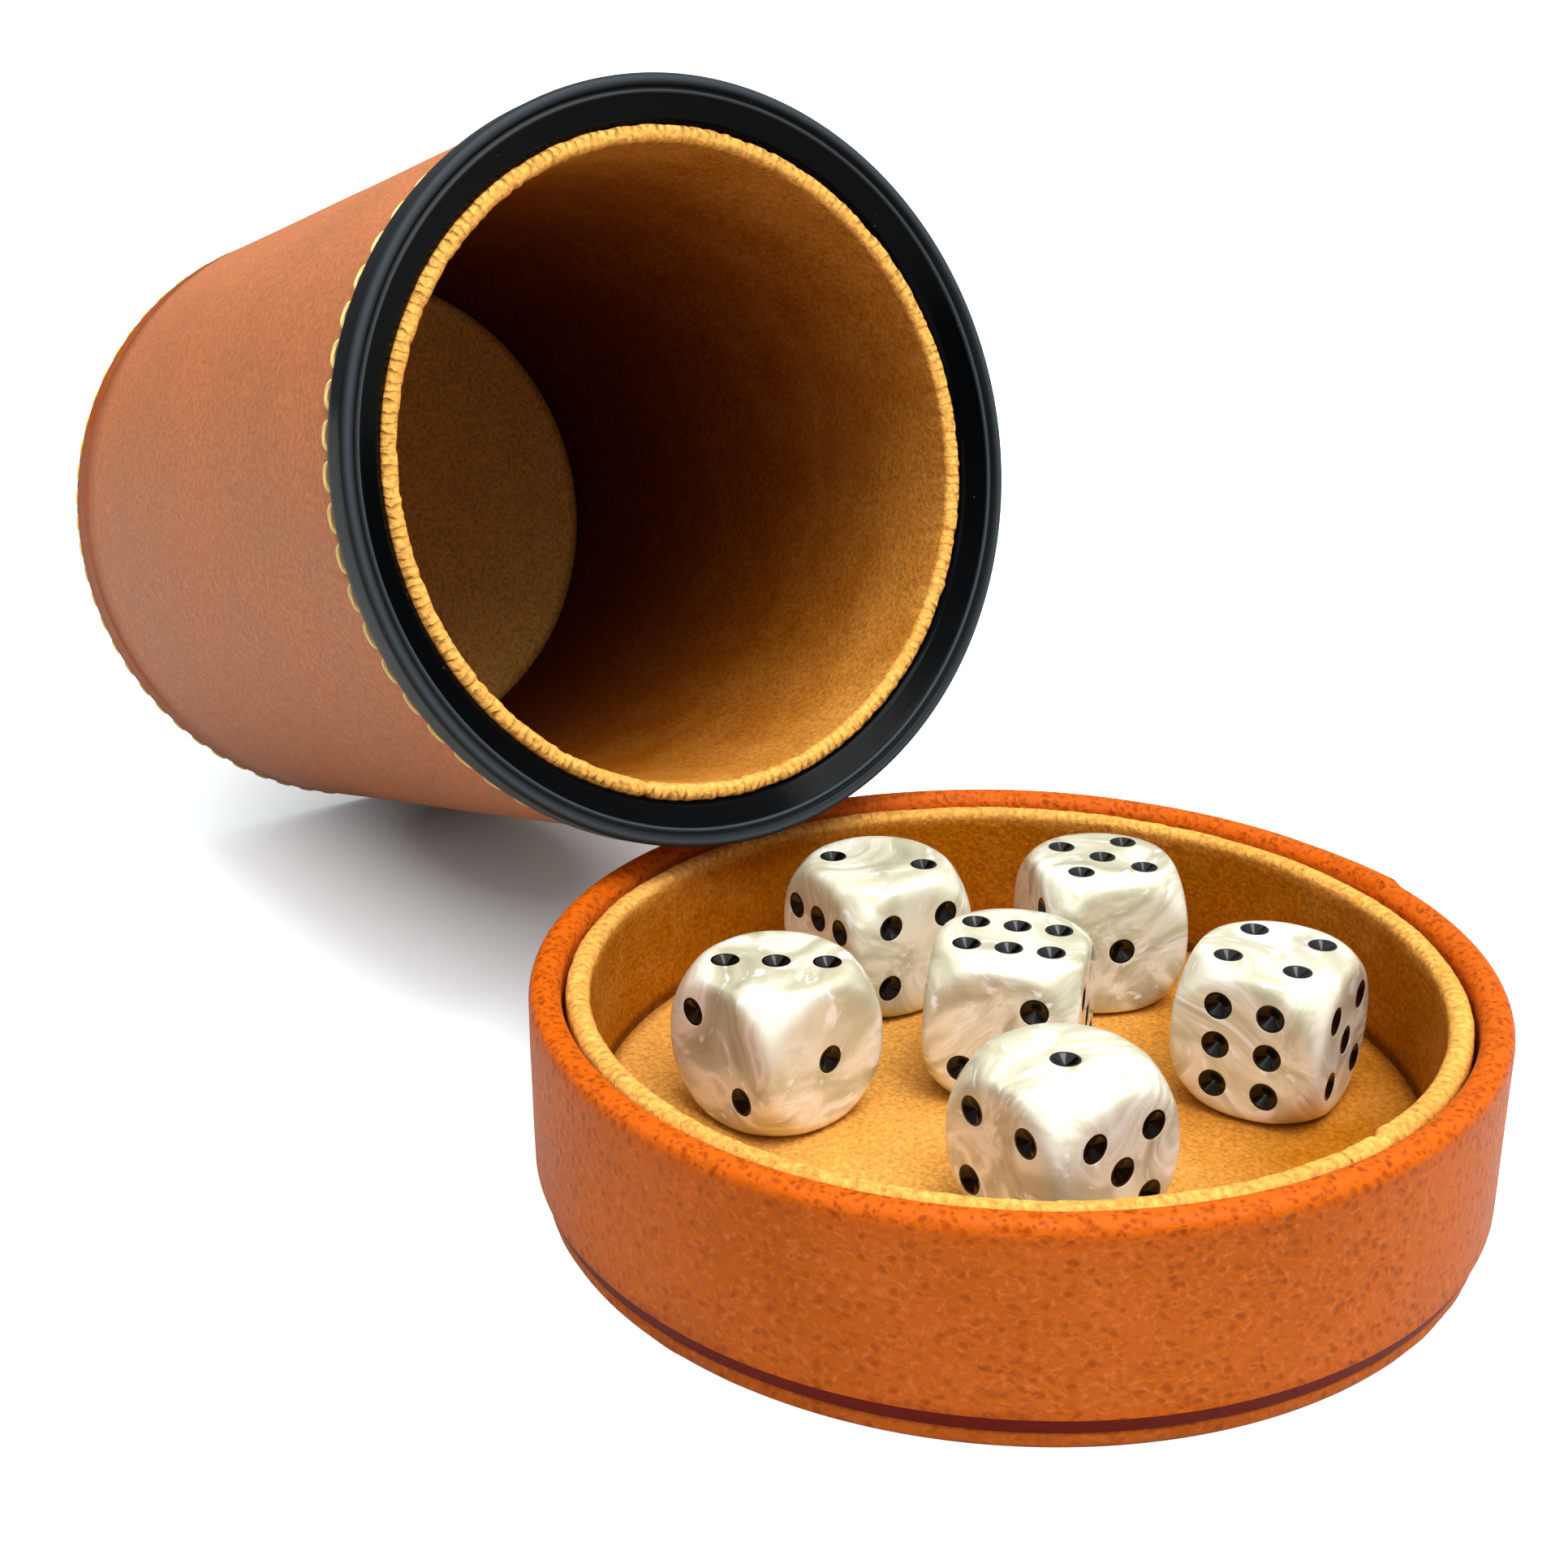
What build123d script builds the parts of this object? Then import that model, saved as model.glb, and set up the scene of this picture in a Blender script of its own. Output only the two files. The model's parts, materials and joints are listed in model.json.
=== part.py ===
from build123d import *
import math
import os

# Leather dice cup lying on its side, its mouth propped on the rim of its round lid.
# The lid lies open side up as a tray with six pearl dice on its velour floor.
# Millimetres, +Z up. Origin: centre of the lid's base, on the table.
# +X runs from the cup towards the lid, so the cup's axis lies in an XZ plane.

# Driving dimensions of the cup, outwards from its bore and along its own axis
CUP_BORE = 70.0
CUP_LINING = 0.6
CUP_LINING_BOARD = 0.75
CUP_WALL_BOARD = 2.05
CUP_LEATHER = 1.2
CUP_LENGTH = 99.6
CUP_HEEL_FLARE = 0.25
CUP_HEEL_FLARE_HEIGHT = 3.5
CUP_HEEL_ROUND = 0.5
CUP_BASE_INSET = 0.05
CUP_BASE_LEATHER = 1.0
CUP_BASE_EDGE = 0.4
CUP_BASE_BOARD = 1.2
CUP_FLOOR_BOARD = 0.9
CUP_FLOOR_LINING = 0.6
CUP_LINING_DROP = 1.8
CUP_LINING_FOLD_DEPTH = 12.0

# Driving dimensions of the black rim ring
RING_PROUD = 0.85
RING_HEIGHT = 4.2
RING_BEAD_RADIUS = 1.6
RING_LAND = 1.4
RING_RIDGE_STEP = 0.35
RING_FACE_DISH = 0.25
RING_SPIGOT = 0.8
RING_SPIGOT_DEPTH = 6.0
RING_BACK_ROUND = 0.4

# Driving dimensions of the lid, outwards from the collar that slips over the ring
LID_SLIP = 0.55
COLLAR_LINING = 0.6
COLLAR_BOARD = 1.25
COLLAR_GAP = 0.45
LID_TURN_IN = 0.65
LID_WALL_BOARD = 1.75
LID_WALL_LEATHER = 0.9
LID_HEIGHT = 22.5
LID_BASE_INSET = 0.9
LID_BASE_THICKNESS = 1.9
LID_BASE_BOARD = 1.1
LID_BASE_EDGE = 0.6
LID_BASE_TURN_IN_WIDTH = 9.0
LID_GROOVE = 1.55
LID_GROOVE_LEATHER = 0.15
LID_TURN_IN_DEPTH = 9.0
COLLAR_DROP = 1.0
COLLAR_FOLD_DEPTH = 10.0
LID_FLOOR_HEIGHT = 7.1
LID_FLOOR_LINING = 0.6
LID_FLOOR_PAD = 1.2

# Driving dimensions of the sewing thread
THREAD = 0.5
BASE_THREAD = 0.4
RIM_STITCH_PITCH = 4.165
RIM_STITCH_DROP = 1.2
BASE_STITCH_PITCH = 3.556
BASE_STITCH_DROP = 0.1
BASE_STITCH_INSET = 0.13
STITCH_SHARE = 0.78

# Driving dimensions of the dice
DIE_EDGE = 16.0
DIE_BALL_SHARE = 0.6875
DIE_EDGE_ROUND = 0.6
PIP_DIAMETER = 3.1
PIP_POINT_ANGLE = 118.0
PIP_PAINT = 0.12
PIP_INSET = 4.38
SIX_ROW_END_INSET = 3.66
SIX_ROW_INSET = 5.29

# Clearances
GLUE_GAP = 0.05
TABLE_GAP = 0.1
REST_GAP = 0.2
DIE_GAP = 0.1
THREAD_GAP = 0.02

# Where the cup and the dice lie
CUP_MOUTH_OVERHANG = 15.1
CUP_SIDE_OFFSET = -5.6
# For each die: x, y, heading of its second face in degrees, number on top, second number
DICE = {
    "die_1": (-12.2, -20.5, -82.5, 3, 2),
    "die_2": (19.8, -10.5, -88.5, 1, 4),
    "die_3": (-2.9, 2.6, -49.9, 6, 2),
    "die_4": (14.7, 22.3, -67.3, 4, 6),
    "die_5": (-26.8, 3.3, -92.8, 2, 6),
    "die_6": (-13.2, 24.4, -114.1, 5, 3),
}

# Cup radii, worked outwards from the bore
CUP_BORE_RADIUS = CUP_BORE / 2
CUP_LINING_BOARD_INNER = CUP_BORE_RADIUS + CUP_LINING
CUP_LINING_BOARD_OUTER = CUP_LINING_BOARD_INNER + CUP_LINING_BOARD
CUP_LINING_OUTER = CUP_LINING_BOARD_OUTER + CUP_LINING
RING_INNER = CUP_LINING_OUTER + GLUE_GAP
RING_SPIGOT_OUTER = RING_INNER + RING_SPIGOT
CUP_WALL_BOARD_INNER = RING_SPIGOT_OUTER + GLUE_GAP
CUP_WALL_BOARD_OUTER = CUP_WALL_BOARD_INNER + CUP_WALL_BOARD
CUP_RADIUS = CUP_WALL_BOARD_OUTER + CUP_LEATHER
CUP_HEEL_RADIUS = CUP_RADIUS + CUP_HEEL_FLARE
CUP_BASE_RADIUS = CUP_RADIUS - CUP_BASE_INSET
RING_RADIUS = CUP_RADIUS + RING_PROUD
RIM_STITCH_RADIUS = CUP_RADIUS + THREAD / 2 + THREAD_GAP
BASE_STITCH_RADIUS = CUP_HEEL_RADIUS - BASE_STITCH_INSET

# Cup heights, along the cup's own axis
CUP_SLEEVE_TOP = CUP_LENGTH - RING_HEIGHT
CUP_LINING_TOP = CUP_LENGTH - CUP_LINING_DROP
CUP_FLOOR_BOARD_BOTTOM = CUP_BASE_LEATHER + CUP_BASE_BOARD
CUP_FLOOR_LINING_BOTTOM = CUP_FLOOR_BOARD_BOTTOM + CUP_FLOOR_BOARD
CUP_FLOOR_TOP = CUP_FLOOR_LINING_BOTTOM + CUP_FLOOR_LINING
BASE_STITCH_HEIGHT = CUP_BASE_LEATHER - BASE_STITCH_DROP

# Lid radii, worked outwards from the ring
COLLAR_INNER = RING_RADIUS + LID_SLIP
COLLAR_BOARD_INNER = COLLAR_INNER + COLLAR_LINING
COLLAR_BOARD_OUTER = COLLAR_BOARD_INNER + COLLAR_BOARD
COLLAR_OUTER = COLLAR_BOARD_OUTER + COLLAR_LINING
LID_WALL_INNER = COLLAR_OUTER + COLLAR_GAP
LID_WALL_BOARD_INNER = LID_WALL_INNER + LID_TURN_IN
LID_WALL_BOARD_OUTER = LID_WALL_BOARD_INNER + LID_WALL_BOARD
LID_RADIUS = LID_WALL_BOARD_OUTER + LID_WALL_LEATHER
LID_BASE_RADIUS = LID_RADIUS - LID_BASE_INSET
LID_RIM_ROUND = (LID_RADIUS - LID_WALL_INNER) * 0.48
LID_FLOOR_RADIUS = COLLAR_INNER - GLUE_GAP
COLLAR_TOP = LID_HEIGHT - COLLAR_DROP


def turned(points, rounds=None):
    """A body of revolution about Z from an outline of (radius, height) points."""
    outline = make_face(Polyline(points + [points[0]]))
    for corner, radius in (rounds or {}).items():
        near = outline.vertices().sort_by_distance(Vector(*points[corner], 0))[0]
        outline = fillet(near, radius)
    face = Plane.XZ * outline
    return revolve(face, Axis.Z)


def disc(radius, bottom, top):
    return Pos(0, 0, (bottom + top) / 2) * Cylinder(radius, top - bottom)


def tube(inner, outer, bottom, top):
    return disc(outer, bottom, top) - disc(inner, bottom - 1, top + 1)


def folded_skin(inner, board_inner, board_outer, outer, bottom, top, fold_depth, drop):
    """A skin that lines a tube, folds over its top edge and runs down the other side."""
    points = [
        (inner, bottom),
        (inner, top),
        (outer, top),
        (outer, top - fold_depth),
        (board_outer, top - fold_depth),
        (board_outer, top - drop),
        (board_inner, top - drop),
        (board_inner, bottom),
    ]
    roundness = (outer - inner) * 0.45
    return turned(points, {1: roundness, 2: roundness})


def lid_parts():
    """The tray: leather-covered base, a groove, leather-covered wall, lined collar and floor."""
    parts = {}
    base_skin = (LID_BASE_THICKNESS - LID_BASE_BOARD) / 2
    board_top = base_skin + LID_BASE_BOARD
    turn_in_edge = LID_BASE_RADIUS - base_skin - LID_BASE_TURN_IN_WIDTH
    base_leather = turned(
        [
            (0, 0),
            (LID_BASE_RADIUS, 0),
            (LID_BASE_RADIUS, LID_BASE_THICKNESS),
            (turn_in_edge, LID_BASE_THICKNESS),
            (turn_in_edge, board_top),
            (LID_BASE_RADIUS - base_skin, board_top),
            (LID_BASE_RADIUS - base_skin, base_skin),
            (0, base_skin),
        ],
        {1: LID_BASE_EDGE, 2: LID_BASE_EDGE},
    )
    filler = disc(turn_in_edge - GLUE_GAP, board_top, LID_BASE_THICKNESS)
    parts["lid_base_leather"] = base_leather
    parts["lid_base_board"] = disc(LID_BASE_RADIUS - base_skin - GLUE_GAP, base_skin, board_top) + filler
    wall_bottom = LID_BASE_THICKNESS
    wall_board_top = LID_HEIGHT - LID_WALL_LEATHER
    parts["lid_wall_board"] = tube(LID_WALL_BOARD_INNER, LID_WALL_BOARD_OUTER, wall_bottom, wall_board_top)
    parts["lid_wall_leather"] = turned(
        [
            (LID_WALL_BOARD_OUTER, wall_bottom),
            (LID_WALL_BOARD_OUTER + LID_GROOVE_LEATHER, wall_bottom),
            (LID_WALL_BOARD_OUTER + LID_GROOVE_LEATHER, wall_bottom + LID_GROOVE),
            (LID_RADIUS, wall_bottom + LID_GROOVE),
            (LID_RADIUS, LID_HEIGHT),
            (LID_WALL_INNER, LID_HEIGHT),
            (LID_WALL_INNER, LID_HEIGHT - LID_TURN_IN_DEPTH),
            (LID_WALL_BOARD_INNER, LID_HEIGHT - LID_TURN_IN_DEPTH),
            (LID_WALL_BOARD_INNER, wall_board_top),
            (LID_WALL_BOARD_OUTER, wall_board_top),
        ],
        {4: LID_RIM_ROUND, 5: LID_RIM_ROUND},
    )
    parts["lid_collar_board"] = tube(
        COLLAR_BOARD_INNER, COLLAR_BOARD_OUTER, wall_bottom, COLLAR_TOP - COLLAR_LINING
    )
    parts["lid_collar_lining"] = folded_skin(
        COLLAR_INNER,
        COLLAR_BOARD_INNER,
        COLLAR_BOARD_OUTER,
        COLLAR_OUTER,
        wall_bottom,
        COLLAR_TOP,
        COLLAR_FOLD_DEPTH,
        COLLAR_LINING,
    )
    pad_bottom = LID_FLOOR_HEIGHT - LID_FLOOR_LINING - LID_FLOOR_PAD
    lining_bottom = LID_FLOOR_HEIGHT - LID_FLOOR_LINING
    parts["lid_floor_board"] = disc(LID_FLOOR_RADIUS, wall_bottom, pad_bottom)
    parts["lid_floor_pad"] = disc(LID_FLOOR_RADIUS, pad_bottom, lining_bottom)
    parts["lid_floor_lining"] = disc(LID_FLOOR_RADIUS, lining_bottom, LID_FLOOR_HEIGHT)
    return parts


def rim_ring():
    """The moulded ring: a rounded bead outside, a ridge, a sloping land and a hidden spigot."""
    land_top = CUP_LINING_TOP - RING_RIDGE_STEP
    ridge_radius = RING_INNER + RING_LAND
    spigot_bottom = CUP_SLEEVE_TOP - RING_SPIGOT_DEPTH
    ridge_top = CUP_LENGTH - RING_FACE_DISH
    crown_radius = RING_RADIUS - RING_BEAD_RADIUS
    points = [
        (RING_INNER, spigot_bottom),
        (RING_INNER, land_top),
        (ridge_radius, ridge_top - RING_RIDGE_STEP),
        (ridge_radius, ridge_top),
        (crown_radius, CUP_LENGTH),
        (RING_RADIUS, CUP_LENGTH),
        (RING_RADIUS, CUP_SLEEVE_TOP),
        (RING_SPIGOT_OUTER, CUP_SLEEVE_TOP),
        (RING_SPIGOT_OUTER, spigot_bottom),
    ]
    return turned(points, {5: RING_BEAD_RADIUS * 0.98, 6: RING_BACK_ROUND})


def stitch_row(thread, pitch, radius, height):
    """Short lengths of thread laid end to end round the leather, each a separate solid."""
    count = round(2 * math.pi * radius / pitch)
    turn = 360 / count
    section = Plane.XZ * Pos(radius, height) * Circle(thread / 2)
    stitch = revolve(section, Axis.Z, revolution_arc=turn * STITCH_SHARE)
    return Compound([Rot(0, 0, turn * i) * stitch for i in range(count)])


def cup_parts():
    """The cup about its own axis, base at zero: leather sleeve, boards, ring, lining, thread."""
    parts = {}
    parts["cup_base_leather"] = turned(
        [
            (0, 0),
            (CUP_BASE_RADIUS, 0),
            (CUP_BASE_RADIUS, CUP_BASE_LEATHER),
            (0, CUP_BASE_LEATHER),
        ],
        {1: CUP_BASE_EDGE, 2: CUP_BASE_EDGE},
    )
    parts["cup_wall_leather"] = turned(
        [
            (CUP_WALL_BOARD_OUTER, CUP_BASE_LEATHER),
            (CUP_HEEL_RADIUS, CUP_BASE_LEATHER),
            (CUP_RADIUS, CUP_BASE_LEATHER + CUP_HEEL_FLARE_HEIGHT),
            (CUP_RADIUS, CUP_SLEEVE_TOP),
            (CUP_WALL_BOARD_OUTER, CUP_SLEEVE_TOP),
        ],
        {1: CUP_HEEL_ROUND},
    )
    parts["cup_wall_board"] = tube(
        CUP_WALL_BOARD_INNER, CUP_WALL_BOARD_OUTER, CUP_BASE_LEATHER, CUP_SLEEVE_TOP
    )
    parts["cup_base_board"] = disc(
        CUP_WALL_BOARD_INNER - GLUE_GAP, CUP_BASE_LEATHER, CUP_FLOOR_BOARD_BOTTOM
    )
    parts["cup_floor_board"] = disc(
        CUP_BORE_RADIUS - GLUE_GAP, CUP_FLOOR_BOARD_BOTTOM, CUP_FLOOR_LINING_BOTTOM
    )
    parts["cup_floor_lining"] = disc(CUP_BORE_RADIUS - GLUE_GAP, CUP_FLOOR_LINING_BOTTOM, CUP_FLOOR_TOP)
    parts["cup_lining_board"] = tube(
        CUP_LINING_BOARD_INNER,
        CUP_LINING_BOARD_OUTER,
        CUP_FLOOR_BOARD_BOTTOM,
        CUP_LINING_TOP - CUP_LINING,
    )
    parts["cup_lining"] = folded_skin(
        CUP_BORE_RADIUS,
        CUP_LINING_BOARD_INNER,
        CUP_LINING_BOARD_OUTER,
        CUP_LINING_OUTER,
        CUP_FLOOR_BOARD_BOTTOM,
        CUP_LINING_TOP,
        CUP_LINING_FOLD_DEPTH,
        CUP_LINING,
    )
    parts["cup_rim_ring"] = rim_ring()
    parts["cup_rim_stitches"] = stitch_row(
        THREAD, RIM_STITCH_PITCH, RIM_STITCH_RADIUS, CUP_SLEEVE_TOP - RIM_STITCH_DROP
    )
    parts["cup_base_stitches"] = stitch_row(
        BASE_THREAD, BASE_STITCH_PITCH, BASE_STITCH_RADIUS, BASE_STITCH_HEIGHT
    )
    return parts


def cup_place(lean):
    """Where the cup's own frame lies when its axis rises by lean degrees towards the lid."""
    angle = math.radians(lean)
    x = CUP_MOUTH_OVERHANG - LID_RADIUS - CUP_LENGTH - CUP_HEEL_RADIUS * math.sin(angle)
    z = BASE_STITCH_RADIUS * math.cos(angle) - BASE_STITCH_HEIGHT * math.sin(angle)
    z += BASE_THREAD / 2 + TABLE_GAP
    return Location((x, CUP_SIDE_OFFSET, z), (0, 90 - lean, 0))


def gap_to_lid_rim(lean):
    """Least distance between the cup's outside and the rounded rim of the lid."""
    place = cup_place(lean).position
    angle = math.radians(lean)
    circle = LID_RADIUS - LID_RIM_ROUND
    height = LID_HEIGHT - LID_RIM_ROUND - place.Z
    least = CUP_LENGTH
    for step in range(720):
        turn = math.radians(step / 2)
        dx = circle * math.cos(turn) - place.X
        dy = circle * math.sin(turn) - place.Y
        along = dx * math.cos(angle) + height * math.sin(angle)
        away = math.hypot(dy, height * math.cos(angle) - dx * math.sin(angle))
        outside = CUP_RADIUS if along < CUP_SLEEVE_TOP - LID_RIM_ROUND else RING_RADIUS
        if 0 < along < CUP_LENGTH + LID_RIM_ROUND:
            least = min(least, away - outside - LID_RIM_ROUND)
    return least


def lean_on_lid():
    """The lean at which the cup rests on the rim, found by halving."""
    low = 0.0
    high = 80.0
    for _ in range(40):
        middle = (low + high) / 2
        if gap_to_lid_rim(middle) < REST_GAP:
            low = middle
        else:
            high = middle
    return high


def pip_places():
    """The 21 pips of a die: for each face number, its outward axis and the pip centres."""
    half = DIE_EDGE / 2
    s = half - PIP_INSET
    row_end = half - SIX_ROW_END_INSET
    row_side = half - SIX_ROW_INSET
    corners = [(s, s), (s, -s), (-s, s), (-s, -s)]
    rows = [(along, side) for along in (-row_end, 0, row_end) for side in (-row_side, row_side)]
    places = []
    places += [((1, 0, 0), (half, 0, 0))]
    places += [((-1, 0, 0), (-half, along, side)) for along, side in rows]
    places += [((0, 0, 1), (a, -a, half)) for a in (-s, s)]
    places += [((0, 0, -1), (a, b, -half)) for a, b in corners + [(0, 0)]]
    places += [((0, 1, 0), (a, half, -a)) for a in (-s, 0, s)]
    places += [((0, -1, 0), (a, -half, b)) for a, b in corners]
    return places


def die_and_pips():
    """A rounded cube with drilled conical pips, and the layer of paint in each."""
    # A ball of this radius takes off the corners and just touches the middle of each edge
    blank = Box(DIE_EDGE, DIE_EDGE, DIE_EDGE) & Sphere(DIE_EDGE * DIE_BALL_SHARE)
    blank = fillet(blank.edges(), DIE_EDGE_ROUND)
    depth = PIP_DIAMETER / 2 / math.tan(math.radians(PIP_POINT_ANGLE / 2))
    over = DIE_EDGE_ROUND
    wide = PIP_DIAMETER / 2 * (depth + over) / depth
    drill = Pos(0, 0, (over - depth) / 2) * Cone(0, wide, depth + over)
    thick = PIP_PAINT / math.sin(math.radians(PIP_POINT_ANGLE / 2))
    skin = drill & disc(PIP_DIAMETER, -2 * depth, -GLUE_GAP)
    skin -= Pos(0, 0, thick) * drill
    holes = []
    paint = []
    for axis, centre in pip_places():
        place = Plane(origin=centre, z_dir=axis).location
        holes.append(drill.moved(place))
        paint.append(skin.moved(place))
    return blank - holes, Compound(paint)


def die_place(x, y, heading, top, second):
    """A die on the lid's floor with one number up and a second facing the heading."""
    axes = {1: (1, 0, 0), 6: (-1, 0, 0), 3: (0, 1, 0), 4: (0, -1, 0), 2: (0, 0, 1), 5: (0, 0, -1)}
    up = Vector(axes[top])
    ahead = Vector(axes[second])
    side = up.cross(ahead)
    turn = math.radians(heading)
    world_ahead = Vector(math.cos(turn), math.sin(turn), 0)
    world_side = Vector(-math.sin(turn), math.cos(turn), 0)
    world_up = Vector(0, 0, 1)

    def to_world(axis):
        axis = Vector(axis)
        return world_ahead * axis.dot(ahead) + world_side * axis.dot(side) + world_up * axis.dot(up)

    centre = (x, y, LID_FLOOR_HEIGHT + DIE_GAP + DIE_EDGE / 2)
    return Plane(origin=centre, x_dir=to_world((1, 0, 0)), z_dir=to_world((0, 0, 1))).location


def build():
    parts = lid_parts()
    lean = lean_on_lid()
    place = cup_place(lean)
    for name, shape in cup_parts().items():
        parts[name] = shape.moved(place)
    die, pips = die_and_pips()
    for name, where in DICE.items():
        parts[name] = die.moved(die_place(*where))
        parts[name + "_pips"] = pips.moved(die_place(*where))
    print("lean of the cup, degrees:", round(lean, 3))
    print("cup frame origin:", place.position)
    return parts


os.makedirs("parts", exist_ok=True)
for name, shape in build().items():
    export_step(shape, f"parts/{name}.step")
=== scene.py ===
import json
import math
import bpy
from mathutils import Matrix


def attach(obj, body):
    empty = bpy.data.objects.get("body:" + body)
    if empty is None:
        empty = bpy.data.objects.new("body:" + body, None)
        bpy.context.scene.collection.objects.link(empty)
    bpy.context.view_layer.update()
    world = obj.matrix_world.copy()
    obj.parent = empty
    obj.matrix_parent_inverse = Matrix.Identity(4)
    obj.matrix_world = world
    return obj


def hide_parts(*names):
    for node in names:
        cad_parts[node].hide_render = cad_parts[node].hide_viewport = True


bl_info = {
    "name": "Leather dice cup",
    "version": (1, 0, 0),
    "blender": (4, 5, 0),
    "location": "View3D > Sidebar > Dice cup",
    "description": "Dresses a dice cup, its lid and six dice in leather, velour, plastic and thread",
    "category": "Object",
}

from functools import partial

import bmesh
import bpy
import numpy as np
from bpy.props import FloatProperty, FloatVectorProperty, IntProperty, PointerProperty
from mathutils import Matrix, Vector
from mathutils.geometry import delaunay_2d_cdt

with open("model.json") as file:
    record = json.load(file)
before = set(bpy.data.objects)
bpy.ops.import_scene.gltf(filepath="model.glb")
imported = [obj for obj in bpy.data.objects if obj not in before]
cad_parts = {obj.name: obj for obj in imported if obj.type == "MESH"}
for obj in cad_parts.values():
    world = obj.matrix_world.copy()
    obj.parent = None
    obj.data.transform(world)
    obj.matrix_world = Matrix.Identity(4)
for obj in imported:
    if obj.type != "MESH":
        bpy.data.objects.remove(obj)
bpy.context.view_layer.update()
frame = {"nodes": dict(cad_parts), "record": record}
NODES = frame["nodes"]
MM = 0.001


# Places and sizes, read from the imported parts


def cup_place():
    """The cup's own frame as a rotation and an origin: its third axis runs from the base to the mouth."""
    mount = next(m for m in frame["record"]["mounts"] if m["name"] == "cup_base")
    along = -np.array(mount["axis"], float)
    along /= np.linalg.norm(along)
    across = np.array([0.0, 1.0, 0.0])
    return np.column_stack([np.cross(across, along), across, along]), np.array(mount["pos_m"], float)


CUP = cup_place()
LID = (np.eye(3), np.zeros(3))


def node_points(node):
    """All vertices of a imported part, in metres."""
    mesh = NODES[node].data
    points = np.empty(len(mesh.vertices) * 3, np.float32)
    mesh.vertices.foreach_get("co", points)
    return points.reshape(-1, 3).astype(float)


def reach(node, place=LID):
    """Inner and outer radius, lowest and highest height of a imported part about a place's third axis."""
    turn, origin = place
    points = (node_points(node) - origin) @ turn
    radius = np.hypot(points[:, 0], points[:, 1])
    return radius.min(), radius.max(), points[:, 2].min(), points[:, 2].max()


CUP_SKIN = reach("cup_wall_leather", CUP)
CUP_FOOT = reach("cup_base_leather", CUP)
RING = reach("cup_rim_ring", CUP)
CUP_VELOUR = reach("cup_lining", CUP)
CUP_INNER_BOARD = reach("cup_lining_board", CUP)
CUP_FLOOR = reach("cup_floor_lining", CUP)
BASE_THREAD = reach("cup_base_stitches", CUP)
LID_SKIN = reach("lid_wall_leather")
LID_BOARD = reach("lid_wall_board")
LID_FOOT = reach("lid_base_leather")
LID_FOOT_BOARD = reach("lid_base_board")
COLLAR_VELOUR = reach("lid_collar_lining")
COLLAR_BOARD = reach("lid_collar_board")
LID_PAD = reach("lid_floor_pad")
LID_FLOOR = reach("lid_floor_lining")

# How far the ring stands proud of the leather, and the cup's radius over its leather
RING_PROUD = 0.85 * MM
CUP_RADIUS = RING[1] - RING_PROUD
# The cup narrows to its heel over this height, and the ring's spigot is this thick
HEEL_FLARE = 3.5 * MM
SPIGOT = 0.8 * MM
# Turned in or tucked behind the boards
LID_TURN_IN = 9 * MM
COLLAR_FOLD = 10 * MM
CUP_FOLD = 12 * MM
# The flat strip round a drilled pip
PIP_LIP = 0.06 * MM
# The direction of the side of the lid's floor that is darkened as painted shade
SHADED_SIDE = math.radians(55)
# Creases across the fold of the velour in the cup, and steps of the leather from one rim stitch to the next
CREASES_ROUND = 216
STEPS_A_STITCH = 16
# Where the thread goes through the leather, as a share of the way from one rim stitch to the next
HOLE_AT = 0.9

# The camera's place and the directions ahead of it and to its right, solved from the photograph's outlines
CAMERA_PLACE = (0.14638, -0.12893, 0.11623)
CAMERA_AHEAD = (-0.7678788, 0.52991636, -0.35993167)
CAMERA_RIGHT = (0.56872609, 0.82252364, -0.00234483)


def linear(colour):
    """An sRGB hex colour as linear red, green, blue and alpha."""
    parts = np.array([int(colour[i : i + 2], 16) for i in (1, 3, 5)]) / 255
    parts = np.where(parts <= 0.04045, parts / 12.92, ((parts + 0.055) / 1.055) ** 2.4)
    return (*parts, 1.0)


def level(name, description, default, most=4.0, unit="NONE"):
    return FloatProperty(name=name, description=description, default=default, min=0, max=most, unit=unit)


def length(name, description, default):
    return level(name, description, default, 0.2, "LENGTH")


def angle(name, description, degrees):
    words = {"name": name, "description": description}
    return FloatProperty(**words, default=math.radians(degrees), subtype="ANGLE", unit="ROTATION")


def colour(name, description, default):
    words = {"name": name, "description": description}
    return FloatVectorProperty(**words, default=linear(default)[:3], size=3, min=0, max=1, subtype="COLOR")


def stitches(name, description, default):
    return IntProperty(name=name, description=description, default=default, min=8, max=200)


class LidSettings(bpy.types.PropertyGroup):
    rim_round: length("Rim rounding", "How round the leather lies over the lid's rim", 1.55 * MM)
    groove: length("Lower edge", "Rounding of the wall's lower edge above the groove", 0.25 * MM)
    groove_height: length("Groove", "Height of the groove between the base and the wall", 1.55 * MM)
    seam_at: angle("Leather seam", "Where the wall's leather overlaps itself", 78.6)
    seam_step: length("Seam step", "How far the overlapping leather stands proud", 0.45 * MM)
    seam_taper: angle("Seam taper", "How far round the overlap takes to thin out", 16)
    collar_seam_at: angle("Velour seam", "Where the collar's velour meets itself", 6.5)
    velour_wobble: length("Velour unevenness", "How uneven the collar's folded edge is", 0.09 * MM)


class CupSettings(bpy.types.PropertyGroup):
    ring_dish: length("Ring groove", "Depth of the groove between the ring's bead and its ridge", 0.6 * MM)
    seam_at: angle("Velour seam", "Where the cup's velour meets itself", 340)
    velour_wrinkle: length("Fold wrinkles", "Depth of the wrinkles across the velour's fold", 0.16 * MM)
    wrinkle_spacing: length("Wrinkle spacing", "Distance from one wrinkle to the next", 1.15 * MM)


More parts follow.
